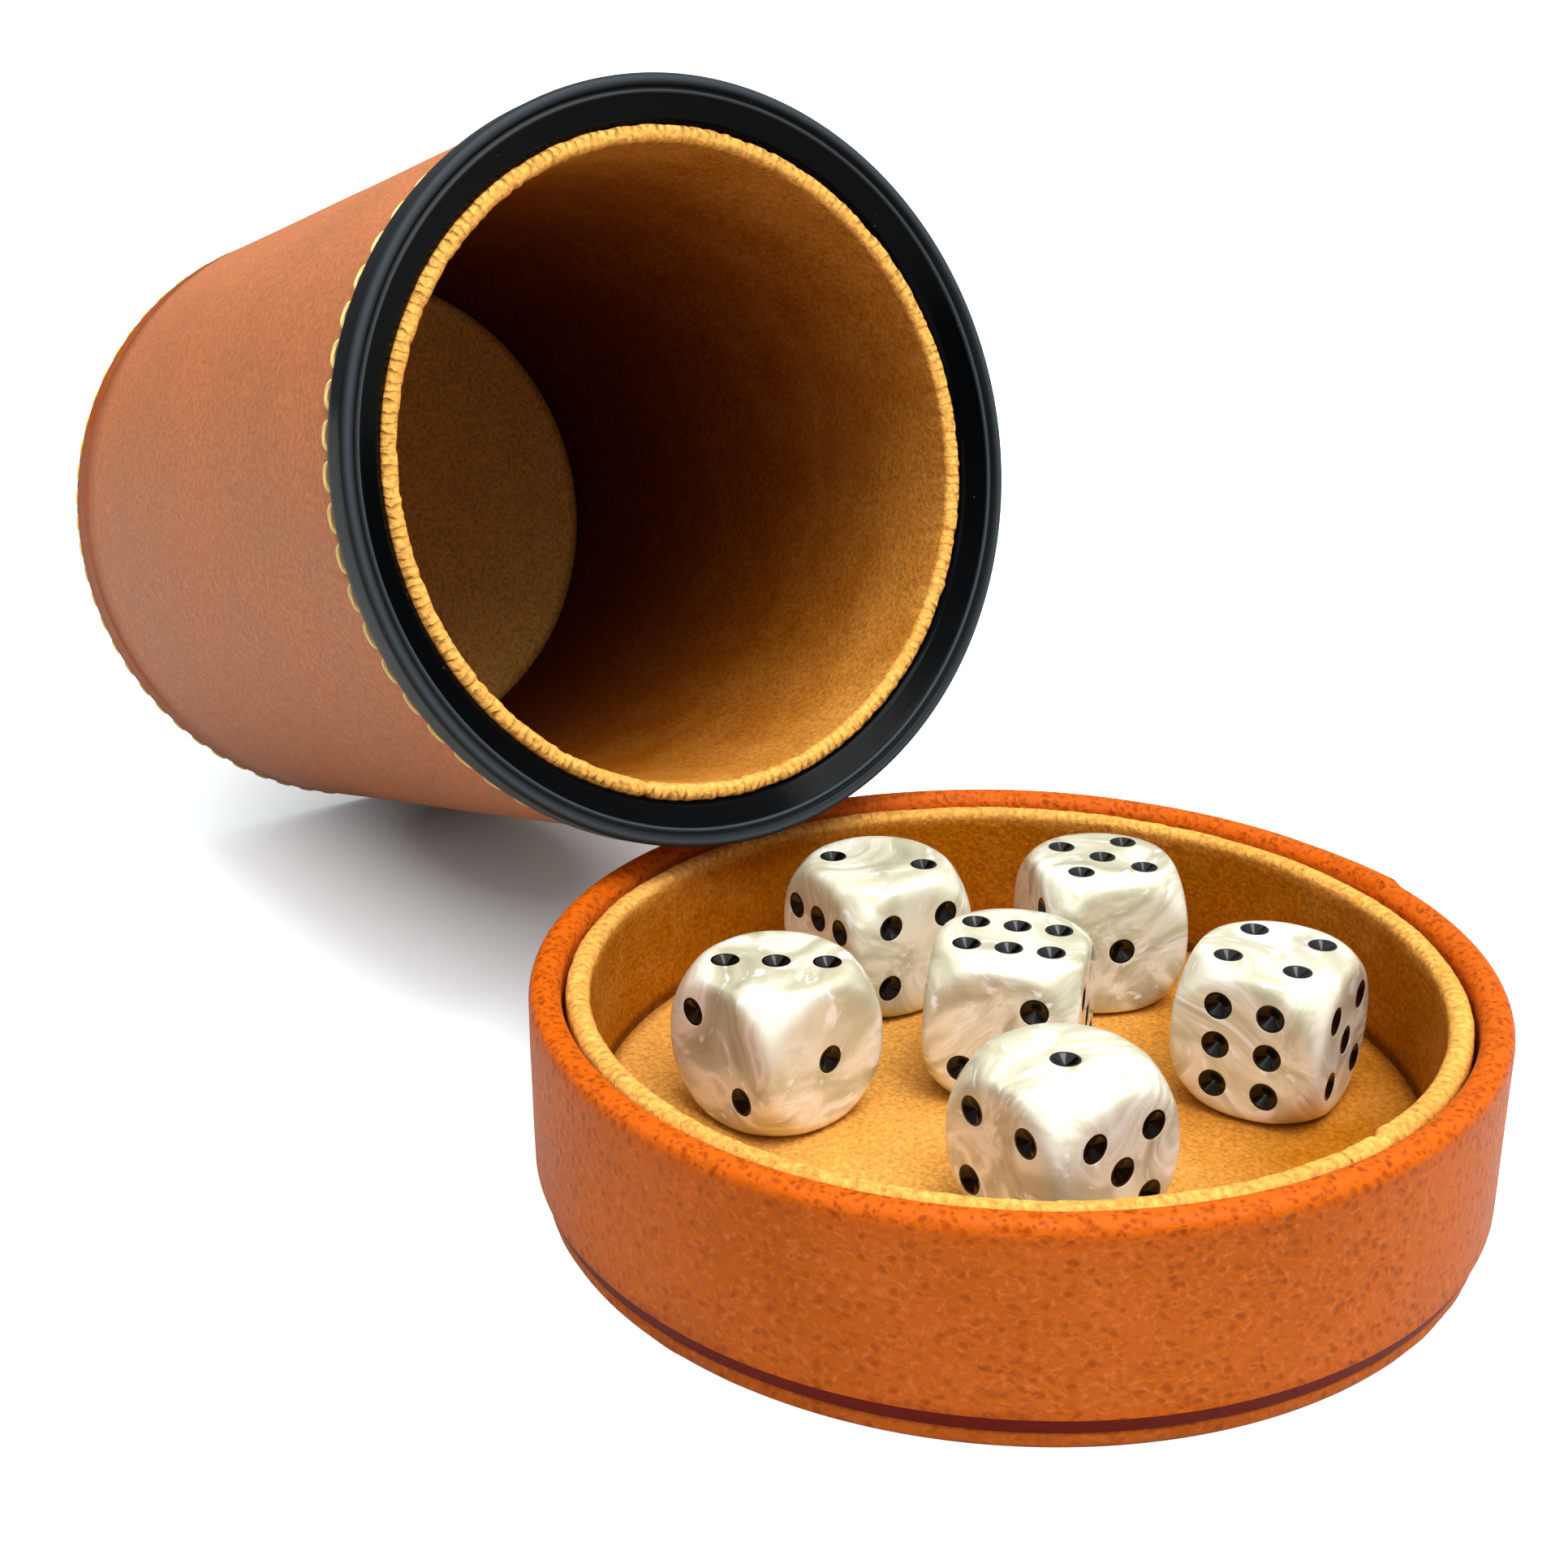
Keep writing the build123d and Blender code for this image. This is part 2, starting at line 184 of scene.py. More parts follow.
class ThreadSettings(bpy.types.PropertyGroup):
    thickness: length("Thread", "Diameter of the sewing thread", 0.45 * MM)
    rim_count: stitches("Rim stitches", "Stitches round the mouth", 62)
    base_count: stitches("Base stitches", "Stitches round the base", 73)
    base_thickness: length("Base thread", "Diameter of the thread round the base", 0.4 * MM)
    rim_drop: length("Rim row", "Distance of the stitches' ends from the ring", 1.5 * MM)
    loft: length("Loft", "How far the middle of a stitch stands off the leather", 0.12 * MM)
    bow: length("Bow", "How far the middle of a rim stitch swings away from the ring", 0.38 * MM)


class DiceSettings(bpy.types.PropertyGroup):
    ball: length("Ball", "Radius of the ball that takes off a die's corners", 11 * MM)
    blend: level("Blend", "How tightly the faces run into the ball", 30, 80)
    pip_width: length("Pip width", "Diameter of a drilled pip", 3.1 * MM)
    pip_point: angle("Pip point", "Angle of the point of the pips' drill", 118)


class FinishSettings(bpy.types.PropertyGroup):
    lid_leather: colour("Lid leather", "Orange-tan pull-up leather of the lid", "#c05d10")
    cup_leather: colour("Cup leather", "Reddish tan smooth leather of the cup", "#c3784a")
    # The pale tips colour is also laid on as a painted highlight on the velour's folds and as painted light
    # on the cup's upper wall
    velour: colour("Velour", "Golden velour where its pile lies flat", "#a05c04")
    velour_tips: colour("Velour tips", "Golden velour where the tips of its pile show", "#f2b35a")
    thread: colour("Thread", "Waxed sewing thread", "#ffe48e")
    plastic: colour("Plastic", "Black moulded rim ring", "#020304")
    pearl: colour("Pearl", "Ivory ground of the pearl acrylic", "#cfcbae")
    paint: colour("Pip paint", "Black paint in the pips", "#030304")


class StudioSettings(bpy.types.PropertyGroup):
    lens: length("Lens", "Focal length for a 36 mm sensor", 48.76 * MM)
    sky: level("Sky", "Strength of the white light from above", 1.35)
    horizon: level("Horizon", "Strength of the light from the sides", 0.16)
    key: level("Key lamp", "Power of the large lamp overhead", 6.0, 100, "POWER")
    fill: level("Fill lamp", "Power of the lamp beside the camera", 0.6, 100, "POWER")


# Surfaces


def outline(corners, rounds, spacing, closed=True, arc_steps=7):
    """Points (radius, height) along straight runs between corners, each corner cut by an arc of its radius.

    The arc's centre lies on the corner's bisector, at radius / sin(half the corner's angle) from it.
    """
    corners = np.array(corners, float)
    before = np.roll(corners, 1, 0) - corners
    after = np.roll(corners, -1, 0) - corners
    runs = []
    for i, corner in enumerate(corners):
        if rounds[i] <= 0 or (not closed and i in (0, len(corners) - 1)):
            runs.append(corner[None])
            continue
        a = before[i] / np.linalg.norm(before[i])
        b = after[i] / np.linalg.norm(after[i])
        half = math.acos(np.clip(a @ b, -1, 1)) / 2
        middle = (a + b) / np.linalg.norm(a + b)
        centre = corner + middle * rounds[i] / math.sin(half)
        start = corner + a * rounds[i] / math.tan(half) - centre
        end = corner + b * rounds[i] / math.tan(half) - centre
        sweep = math.pi - 2 * half
        t = np.linspace(0, 1, arc_steps)[:, None]
        runs.append(centre + (np.sin((1 - t) * sweep) * start + np.sin(t * sweep) * end) / math.sin(sweep))
    points = []
    last = len(runs) if closed else len(runs) - 1
    for i in range(len(runs)):
        points.append(runs[i])
        if i < last:
            a, b = runs[i][-1], runs[(i + 1) % len(runs)][0]
            count = max(1, int(np.linalg.norm(b - a) / spacing))
            t = np.arange(1, count)[:, None] / count
            points.append(a + (b - a) * t)
    return np.concatenate(points)


def disc(size, below, above, spacing, arc_steps=7):
    """Profile of a disc from the middle of its underside to the middle of its top, both edges rounded."""
    _, outer, low, high = size
    corners = [(0, low), (outer, low), (outer, high), (0, high)]
    return outline(corners, [0, below, above, 0], spacing, False, arc_steps)


def folded_cloth(size, board, fold, spacing):
    """Profile of a cloth inside a board tube, folded over its top and tucked down behind it by a fold.

    With it come which of its points lie outside the board, and the cloth's flat size.
    """
    inner, outer, low, high = size
    board_in, board_out, _, board_top = board
    tuck = high - fold
    corners = [
        (inner, low), (board_in, low), (board_in, board_top), (board_out, board_top),
        (board_out, tuck), (outer, tuck), (outer, high), (inner, high),
    ]
    roundness = (outer - inner) * 0.45
    profile = outline(corners, [0, 0, 0, 0, 0, 0, roundness, roundness], spacing, arc_steps=9)
    r, h = profile.T
    outside = (h > board_top) | (r > board_out) | (r < board_in)
    return profile, outside, (2 * math.pi * (inner + outer) / 2, (high - low) + (outer - inner) + fold)


def near(distance, width):
    """1 at no distance and fading on both sides of it: exp(-(distance / width)^2)."""
    return np.exp(-((distance / width) ** 2))


def climb(values, start, width):
    """0 up to a start, 1 from a width past it, and a straight rise between them."""
    return np.clip((values - start) / width, 0, 1)


def angles(steps):
    """As many angles as steps, evenly round a circle."""
    return np.linspace(0, 2 * math.pi, steps, endpoint=False)


def circle(steps):
    """Points (cos a, sin a) of a circle."""
    return np.column_stack([np.cos(angles(steps)), np.sin(angles(steps))])


def way_along(profile):
    """Distance of each point of a profile from its first point, along it."""
    return np.cumsum(np.r_[0, np.linalg.norm(np.diff(profile, axis=0), axis=1)])


def outward(profile, closed=True):
    """Unit normals of a profile with its material on the left: the tangent turned right by 90 degrees."""
    if closed:
        tangent = np.roll(profile, -1, 0) - np.roll(profile, 1, 0)
    else:
        tangent = np.gradient(profile, axis=0)
    tangent /= np.maximum(np.linalg.norm(tangent, axis=1, keepdims=True), 1e-12)
    return np.column_stack([tangent[:, 1], -tangent[:, 0]])


def patches(rows, columns, row_size, column_size, seed):
    """Smooth random heights on a grid that joins at its edges, about -1 to 1.

    White noise is blurred in the frequency domain: each wave is scaled by exp(-(frequency * size)^2 / 2).
    """
    noise = np.fft.fft2(np.random.default_rng(seed).standard_normal((rows, columns)))
    down = np.fft.fftfreq(rows)[:, None] * row_size * math.pi
    across = np.fft.fftfreq(columns)[None] * column_size * math.pi
    field = np.fft.ifft2(noise * np.exp(-(down**2 + across**2) / 2)).real
    return np.clip(field / field.std() / 2.5, -1, 1)


def turned(profile, steps, push=None, closed=True):
    """Points (r cos a, r sin a, h) of a profile (r, h) carried round an axis.

    push is a grid of distances by which each point moves along the profile's normal.
    """
    a = angles(steps)[:, None]
    r = np.broadcast_to(profile[:, 0], (steps, len(profile)))
    h = np.broadcast_to(profile[:, 1], (steps, len(profile)))
    if push is not None:
        normal = outward(profile, closed)
        r = r + push * normal[:, 0]
        h = h + push * normal[:, 1]
    return np.stack([r * np.cos(a), r * np.sin(a), h], axis=2)


def quads(rows, columns, around, across):
    """Corner numbers of the quads of a grid, joined round its rows and across its columns where asked."""
    i = np.arange(rows if around else rows - 1)[:, None]
    j = np.arange(columns if across else columns - 1)[None]
    below, right = (i + 1) % rows, (j + 1) % columns
    corners = [i * columns + j, below * columns + j, below * columns + right, i * columns + right]
    return np.stack(corners, 2).reshape(-1, 4)


def mesh_object(name, points, faces, uv=None, attributes=None):
    """A smooth mesh of points and faces with equal corner counts, its doubles merged."""
    mesh = bpy.data.meshes.new(name)
    mesh.vertices.add(len(points))
    mesh.vertices.foreach_set("co", points.astype(np.float32).ravel())
    mesh.loops.add(faces.size)
    mesh.loops.foreach_set("vertex_index", faces.astype(np.int32).ravel())
    mesh.polygons.add(len(faces))
    sides = faces.shape[1]
    mesh.polygons.foreach_set("loop_start", np.arange(0, faces.size, sides, dtype=np.int32))
    mesh.polygons.foreach_set("loop_total", np.full(len(faces), sides, np.int32))
    mesh.update(calc_edges=True)
    if uv is not None:
        mesh.uv_layers.new(name="UVMap").data.foreach_set("uv", uv[faces.ravel()].astype(np.float32).ravel())
    for key, values in (attributes or {}).items():
        kind, field = ("FLOAT", "value") if values.ndim == 1 else ("FLOAT_VECTOR", "vector")
        mesh.attributes.new(key, kind, "POINT").data.foreach_set(field, values.astype(np.float32).ravel())
    work = bmesh.new()
    work.from_mesh(mesh)
    bmesh.ops.remove_doubles(work, verts=work.verts, dist=1e-7)
    work.to_mesh(mesh)
    work.free()
    mesh.polygons.foreach_set("use_smooth", np.ones(len(mesh.polygons), bool))
    mesh.update()
    piece = bpy.data.objects.new(name, mesh)
    bpy.context.scene.collection.objects.link(piece)
    return piece


def turned_piece(name, profile, steps, place, push=None, closed=True, attributes=None):
    """A turned surface set in its place, with the angle and the way along the profile as its UV map.

    An attribute with one value for each point of the profile is the same all the way round.
    """
    grid = turned(profile, steps, push, closed)
    turn, origin = place
    points = grid.reshape(-1, 3) @ turn.T + origin
    away = way_along(profile)
    u = np.repeat(np.arange(steps) / steps, len(profile))
    uv = np.column_stack([u, np.tile(away / away[-1], steps)])
    marks = {}
    for key, values in (attributes or {}).items():
        marks[key] = np.tile(values, steps) if len(values) == len(profile) else values
    return mesh_object(name, points, quads(steps, len(profile), True, closed), uv, marks)


def lay_of(profile, steps):
    """Where each point of a turned piece lies on its cloth: (r cos a, r sin a, way along the profile).

    r is the profile's largest radius.
    """
    round_about = np.repeat(profile[:, 0].max() * circle(steps), len(profile), axis=0)
    return np.column_stack([round_about, np.tile(way_along(profile), steps)])


def around(steps, at, width):
    """Signed angle of each step from an angle, divided by a width: 0 at it, 1 a width further on."""
    return (((angles(steps) - at + math.pi) % (2 * math.pi)) - math.pi) / width


# Materials


def add_node(tree, kind, inputs=(), ramp=(), **settings):
    """Adds a node: settings are its properties and ramp its colour stops.

    inputs are values, sockets to link, or nodes to link from their first output, by name or in order.
    """
    node = tree.nodes.new("ShaderNode" + kind)
    for key, value in settings.items():
        setattr(node, key, value)
    for key, value in inputs.items() if isinstance(inputs, dict) else enumerate(inputs):
        if isinstance(value, bpy.types.Node):
            value = value.outputs[0]
        if isinstance(value, bpy.types.NodeSocket):
            tree.links.new(value, node.inputs[key])
        else:
            node.inputs[key].default_value = value
    for i, (place, shade) in enumerate(ramp):
        stop = node.color_ramp.elements[i] if i < 2 else node.color_ramp.elements.new(place)
        stop.position = place
        stop.color = shade
    return node


def emptied(made):
    """The function that adds a node to a material or a world, once its default nodes are gone."""
    made.use_nodes = True
    made.node_tree.nodes.clear()
    return partial(add_node, made.node_tree)


def grey(value):
    return (value, value, value, 1.0)


def shade(base, factor, towards=(1, 1, 1), share=0.0):
    """A colour made darker or lighter by a factor, then moved towards another by a share."""
    mixed = np.array(base[:3]) * factor * (1 - share) + np.array(towards[:3]) * share
    return (*np.clip(mixed, 0, 1), 1.0)


def pull_up_leather(add, base):
    """Vegetable-tanned pull-up cowhide, waxed: a fine pebble, open pores, paler where it is stretched over
    the rim, a painted highlight along the wall's lower edge and painted shade in the groove.
    """
    place = add("TexCoord").outputs["Object"]
    wander = add("TexNoise", {"Vector": place, "Scale": 600.0, "Detail": 2.0})
    warped = add("MixRGB", [0.0012, place, wander.outputs["Color"]], blend_type="ADD")
    # Pores 0.5 to 0.7 mm across, about 1.1 mm apart
    pores = add("TexVoronoi", {"Vector": warped, "Scale": 930.0, "Randomness": 0.9})
    pore = add("ValToRGB", [pores], ramp=[(0.18, grey(1)), (0.5, grey(0))])
    each = add("SeparateColor", [pores.outputs["Color"]])
    open_pore = add("MapRange", [each, 0.1, 0.9, 0.35, 1.0])
    pored = add("Math", [pore, open_pore], operation="MULTIPLY")
    # Pebbles 0.4 to 0.6 mm wide, their tops paler from rubbing
    pebble = add("TexNoise", {"Vector": warped, "Scale": 1500.0, "Detail": 2.0, "Roughness": 0.6})
    # Clouds about 15 mm across
    cloud = add("TexNoise", {"Vector": place, "Scale": 70.0, "Detail": 4.0, "Roughness": 0.55})
    stops = [(0.3, shade(base, 0.88)), (0.7, shade(base, 1.06, linear("#e17c50"), 0.12))]
    clouds = add("ValToRGB", [cloud], ramp=stops)
    lightened = add("MapRange", [pebble, 0.5, 0.7, 0.0, 0.62])
    topped = add("MixRGB", [lightened, clouds, shade(base, 1.3, linear("#f3a076"), 0.2)])
    # This attribute holds the real stretching over the rim and a painted highlight along the wall's lower
    # edge
    stretch = add("Attribute", attribute_name="stretch").outputs["Fac"]
    warm = add("MixRGB", [stretch, topped, linear("#c85a08")])
    depth = add("MapRange", [stretch, 0, 1, 0.62, 0.9])
    dark = add("Math", [pored, depth], operation="MULTIPLY")
    specked = add("MixRGB", [dark, warm, linear("#9c4200")])
    # Small pores open close together where the leather bends over the rim
    small = add("TexVoronoi", {"Vector": warped, "Scale": 1350.0, "Randomness": 0.9})
    dots = add("ValToRGB", [small], ramp=[(0.18, grey(0.75)), (0.44, grey(0))])
    bent = add("Math", [dots, stretch], operation="MULTIPLY")
    specked = add("MixRGB", [bent, specked, linear("#8e3400")])
    # Painted shade in the groove between the lid's wall and its base
    groove = add("Attribute", attribute_name="groove").outputs["Fac"]
    groove_shaded = add("MixRGB", [groove, specked, linear("#741500")])
    height = add("Math", [pored, -1.0, pebble], operation="MULTIPLY_ADD")
    relief = add("Bump", {"Strength": 0.7, "Distance": 0.00018, "Height": height})
    rough = add("MapRange", [cloud, 0, 1, 0.38, 0.55])
    return {
        "Base Color": groove_shaded, "Normal": relief,
        "Roughness": rough, "IOR": 1.5, "Specular IOR Level": 0.08,
    }


def smooth_leather(add, base):
    """Aniline cowhide rolled smooth: a hair-fine grain, soft mottling, a pale cut edge, and painted shade at
    the heel, in the stitch holes, under the stitches and on the base's unfinished edge.
    """
    place = add("TexCoord").outputs["Object"]
    # Mottling about 20 mm across
    cloud = add("TexNoise", {"Vector": place, "Scale": 45.0, "Detail": 5.0, "Roughness": 0.6})
    brown, red = linear("#ad7c4b"), linear("#ce7359")
    stops = [(0.28, shade(base, 0.9, brown, 0.15)), (0.72, shade(base, 1.06, red, 0.15))]
    clouds = add("ValToRGB", [cloud], ramp=stops)
    # Grain 0.25 to 0.5 mm wide, dark in its creases and pale on its tops
    grain = add("TexNoise", {"Vector": place, "Scale": 1500.0, "Detail": 4.0, "Roughness": 0.7})
    stops = [(0.36, shade(grey(0.5), 0.8)), (0.5, grey(0.5)), (0.66, shade(grey(0.5), 1.24))]
    grains = add("ValToRGB", [grain], ramp=stops)
    grained = add("MixRGB", [1.0, clouds, grains], blend_type="MULTIPLY")
    tone = add("VectorMath", {0: grained, 3: 2.0}, operation="SCALE")
    # The strip above the heel, the stitch holes with the leather under the stitches, and the base disc's
    # unfinished edge are darkened as painted shade; the cut edge is the leather's own pale colour
    for mark, over in (("band", "#9c4608"), ("cut", "#e6ab90"), ("raw", "#6e4a1c"), ("pressed", "#480600")):
        share = add("Attribute", attribute_name=mark).outputs["Fac"]
        tone = add("MixRGB", [share, tone, linear(over)])
    net = {"Vector": place, "Scale": 1700.0, "Randomness": 1.0}
    creases = add("TexVoronoi", net, feature="DISTANCE_TO_EDGE")
    height = add("Math", [creases, 0.5, grain], operation="MULTIPLY_ADD")
    relief = add("Bump", {"Strength": 0.3, "Distance": 0.0001, "Height": height})
    rough = add("MapRange", [cloud, 0, 1, 0.42, 0.56])
    return {
        "Base Color": tone, "Normal": relief,
        "Roughness": rough, "IOR": 1.5, "Specular IOR Level": 0.12,
    }


def short_velour(add, flat, tips):
    """Knitted velour, its pile about 0.3 mm: matt, mixed from its flat colour to its paler tips colour by
    the pile's own tone and by painted light, and darkened further by painted shade.
    """
    place = add("TexCoord").outputs["Object"]
    # This attribute is partly the pile's own tone and partly painted light: a painted highlight on the
    # folds, painted light on the cup's upper wall and painted shade on one side of the lid's floor
    nap = add("Attribute", attribute_name="nap").outputs["Fac"]
    # Tufts 0.25 to 0.4 mm across, brushed in patches about 10 mm wide
    tuft = add("TexNoise", {"Vector": place, "Scale": 1700.0, "Detail": 2.0, "Roughness": 0.7})
    brushed = add("TexNoise", {"Vector": place, "Scale": 110.0, "Detail": 4.0, "Roughness": 0.6})
    stand = add("MapRange", [brushed, 0.3, 0.7, -0.12, 0.12])
    stood = add("Math", [nap, stand], operation="ADD", use_clamp=True)
    pile = add("MixRGB", [stood, (*flat, 1.0), (*tips, 1.0)])
    tufts = add("MapRange", [tuft, 0.3, 0.7, 0.66, 1.3])
    # Creases across a fold, 0.3 mm wide and about 1 mm apart, some deeper than others, darkened in their
    # hollows as painted shade
    lay = add("Attribute", attribute_name="lay").outputs["Vector"]
    gather = add("TexNoise", {"Vector": lay, "Scale": 700.0, "Detail": 1.0, "Roughness": 0.5})
    way = add("SeparateXYZ", [add("UVMap", uv_map="UVMap")]).outputs["X"]
    spacing = [way, 2 * math.pi * CREASES_ROUND, gather]
    turn = add("Math", spacing, operation="MULTIPLY_ADD")
    wander = add("Math", [gather, 7.0, turn], operation="MULTIPLY_ADD")
    wave = add("Math", [wander], operation="SINE")
    creases = add("ValToRGB", [wave], ramp=[(0.25, grey(0)), (0.85, grey(1))])
    deep = add("MapRange", [gather, 0.35, 0.6, 0.35, 1.0])
    drawn = add("Math", [creases, deep], operation="MULTIPLY")
    fold = add("Attribute", attribute_name="fold").outputs["Fac"]
    pit = add("Math", [drawn, fold], operation="MULTIPLY")
    hollow = add("MapRange", [pit, 0, 1, 1.0, 0.42])
    # The tufts' mottling, times the painted shade in the creases
    mottled = add("Math", [tufts, hollow], operation="MULTIPLY")
    # Painted shade: the velour is darkened deep in the cup, beside the lid's floor and round the floors'
    # edges
    sunk = add("Attribute", attribute_name="sunk").outputs["Fac"]
    dim = add("MixRGB", [sunk, pile, linear("#7e421d")], blend_type="MULTIPLY")
    tone = add("VectorMath", {0: dim, 3: mottled}, operation="SCALE")
    height = add("Math", [pit, -1.5, tuft], operation="MULTIPLY_ADD")
    relief = add("Bump", {"Strength": 0.8, "Distance": 0.0002, "Height": height})
    return {
        "Base Color": tone, "Normal": relief,
        "Roughness": 0.95, "IOR": 1.45, "Specular IOR Level": 0.04,
        "Sheen Weight": 0.07, "Sheen Roughness": 0.4, "Sheen Tint": linear("#ffa040"),
    }


def waxed_thread(add, base):
    """Waxed polyester thread of three plies: slanting grooves, a soft shine."""
    # Grooves 0.3 mm apart round the thread, each making one turn in about 2.4 mm
    way = add("UVMap", uv_map="UVMap")
    lay = add("Mapping", {"Vector": way, "Scale": (3.0, 9.0, 1.0)})
    plies = add("TexWave", {"Vector": lay, "Scale": 0.32}, bands_direction="DIAGONAL").outputs["Fac"]
    tones = add("ValToRGB", [plies], ramp=[(0.1, shade(base, 0.86)), (0.5, shade(base, 1.05))])
    relief = add("Bump", {"Strength": 0.6, "Distance": 0.00008, "Height": plies})
    return {"Base Color": tones, "Roughness": 0.5, "Normal": relief, "Sheen Weight": 0.2}


def moulded_plastic(add, base):
    """Black ABS from a satin mould: a faint spark texture, fine scuffs and a few dust specks."""
    place = add("TexCoord").outputs["Object"]
    # Sparks 0.2 to 0.4 mm, scuffs about 6 mm, and dust of 0.2 to 0.3 mm about every 2.5 mm
    spark = add("TexNoise", {"Vector": place, "Scale": 2600.0, "Detail": 2.0})
    scuff = add("TexNoise", {"Vector": place, "Scale": 160.0, "Detail": 6.0, "Roughness": 0.7})
    dust = add("TexVoronoi", {"Vector": place, "Scale": 420.0, "Randomness": 1.0})
    specks = add("ValToRGB", [dust], ramp=[(0.035, grey(1)), (0.06, grey(0))])
    # Painted highlight: the bead, its outer side and the ridge are painted a lighter grey, and the face
    # inside stays black
    bead = add("Attribute", attribute_name="bead").outputs["Fac"]
    lightened = add("MixRGB", [bead, (*base, 1.0), linear("#444b51")])
    mottled = add("MixRGB", [specks, lightened, linear("#3a3f44")])
    scuffs = add("MapRange", [scuff, 0.3, 0.7, 0.1, 0.2])
    rough = add("Math", [bead, 0.2, scuffs], operation="MULTIPLY_ADD")
    relief = add("Bump", {"Strength": 0.12, "Distance": 0.00005, "Height": spark})
    return {
        "Base Color": mottled, "Normal": relief,
        "Roughness": rough, "IOR": 1.53, "Specular IOR Level": 0.04,
    }


def cast_pearl(add, base):
    """Cast acrylic with pearl flakes along the folds of the pour: silky streaks under a polished face."""
    place = add("TexCoord").outputs["Object"]
    # The pour folds every 5 to 10 mm, and its streaks are 0.5 to 2 mm wide and 3 to 8 mm long
    drift = add("TexNoise", {"Vector": place, "Scale": 75.0, "Detail": 1.0, "Roughness": 0.4})
    folded = add("MixRGB", [0.03, place, drift.outputs["Color"]], blend_type="ADD")
    drawn = add("Mapping", {"Vector": folded, "Rotation": (0.5, 0.35, 0.8), "Scale": (1.0, 0.32, 1.0)})
    silk = add("TexNoise", {"Vector": drawn, "Scale": 190.0, "Detail": 4.0, "Roughness": 0.5})
    thin = add("TexNoise", {"Vector": drawn, "Scale": 520.0, "Detail": 2.0, "Roughness": 0.5})
    body = add("TexNoise", {"Vector": folded, "Scale": 70.0, "Detail": 2.0})
    dark, half = shade(base, 0.56, linear("#aaa27c"), 0.3), shade(base, 0.92)
    stops = [(0.32, dark), (0.45, half), (0.55, linear("#efeddb")), (0.62, linear("#fdfcef")), (0.74, half)]
    tones = add("ValToRGB", [silk], ramp=stops)
    ground = add("MapRange", [body, 0.3, 0.7, 0.0, 0.55])
    milky = add("MixRGB", [ground, tones, shade(base, 1.04)])
    lines = add("MapRange", [thin, 0.6, 0.7, 0.0, 0.75])
    streaked = add("MixRGB", [lines, milky, linear("#ffffff")])
    relief = add("Bump", {"Strength": 0.22, "Distance": 0.0008, "Height": silk})
    flash = add("MapRange", [silk, 0.35, 0.65, 0.42, 0.26])
    return {
        "Base Color": streaked, "Normal": relief,
        "Metallic": 0.12, "Roughness": flash, "IOR": 1.49,
        "Coat Weight": 0.8, "Coat Roughness": 0.04, "Coat IOR": 1.49,
    }


def gloss_paint(add, base):
    """Black enamel dropped in the drilled pips: glossy, slightly rippled."""
    place = add("TexCoord").outputs["Object"]
    # Ripples about 1 mm apart
    ripple = add("TexNoise", {"Vector": place, "Scale": 900.0, "Detail": 2.0})
    tones = add("ValToRGB", [ripple], ramp=[(0.3, (*base, 1.0)), (0.8, shade(base, 2.2))])
    relief = add("Bump", {"Strength": 0.15, "Distance": 0.0001, "Height": ripple})
    return {
        "Base Color": tones, "Normal": relief,
        "Roughness": 0.14, "IOR": 1.5, "Specular IOR Level": 0.35,
    }


def grey_board(add):
    """Bookbinder's grey board: recycled fibre, specked and matt."""
    place = add("TexCoord").outputs["Object"]
    # Clumps of fibre about 1.2 mm across
    fibre = add("TexNoise", {"Vector": place, "Scale": 800.0, "Detail": 4.0, "Roughness": 0.7})
    tones = add("ValToRGB", [fibre], ramp=[(0.3, linear("#857e74")), (0.7, linear("#b3aca0"))])
    relief = add("Bump", {"Strength": 0.3, "Distance": 0.0001, "Height": fibre})
    return {"Base Color": tones, "Roughness": 0.92, "Normal": relief}


def open_foam(add):
    """Open-cell polyurethane foam sheet: pale, full of fine cells."""
    place = add("TexCoord").outputs["Object"]
    # Cells about 0.6 mm across
    cells = add("TexVoronoi", {"Vector": place, "Scale": 1600.0})
    tones = add("ValToRGB", [cells], ramp=[(0.1, linear("#9c9684")), (0.5, linear("#dcd6c4"))])
    relief = add("Bump", {"Strength": 0.5, "Distance": 0.0002, "Height": cells})
    return {"Base Color": tones, "Roughness": 0.95, "Normal": relief}


FINISHES = {
    "lid_leather": ("pull_up_cowhide", pull_up_leather, "lid_leather"),
    "cup_leather": ("aniline_cowhide", smooth_leather, "cup_leather"),
    "velour": ("golden_velour", short_velour, "velour", "velour_tips"),
    "yellow_thread": ("waxed_polyester_thread", waxed_thread, "thread"),
    "black_plastic": ("satin_black_abs", moulded_plastic, "plastic"),
    "pearl_acrylic": ("cast_pearl_acrylic", cast_pearl, "pearl"),
    "pip_paint": ("black_enamel", gloss_paint, "paint"),
    "grey_board": ("recycled_grey_board", grey_board),
    "foam": ("polyurethane_foam", open_foam),
}


def finish_of(slot):
    """The material of a slot, made at its first use with its colours from the settings."""
    name, make, *colours = FINISHES[slot]
    made = bpy.data.materials.get(name)
    if made is None:
        made = bpy.data.materials.new(name)
        add = emptied(made)
        surface = make(add, *[tuple(getattr(bpy.context.scene.cup_finishes, key)) for key in colours])
        add("OutputMaterial", {"Surface": add("BsdfPrincipled", surface)})
    return made


def dressed(piece, body, slot, node):
    """Gives a piece its material, its body and its slot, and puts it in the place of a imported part."""
    piece.data.materials.append(finish_of(slot))
    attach(piece, body)
    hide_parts(node)


def painted(node, slot):
    """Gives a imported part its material."""
    NODES[node].data.materials.clear()
    NODES[node].data.materials.append(finish_of(slot))


# Operators, one for each piece or group of like pieces


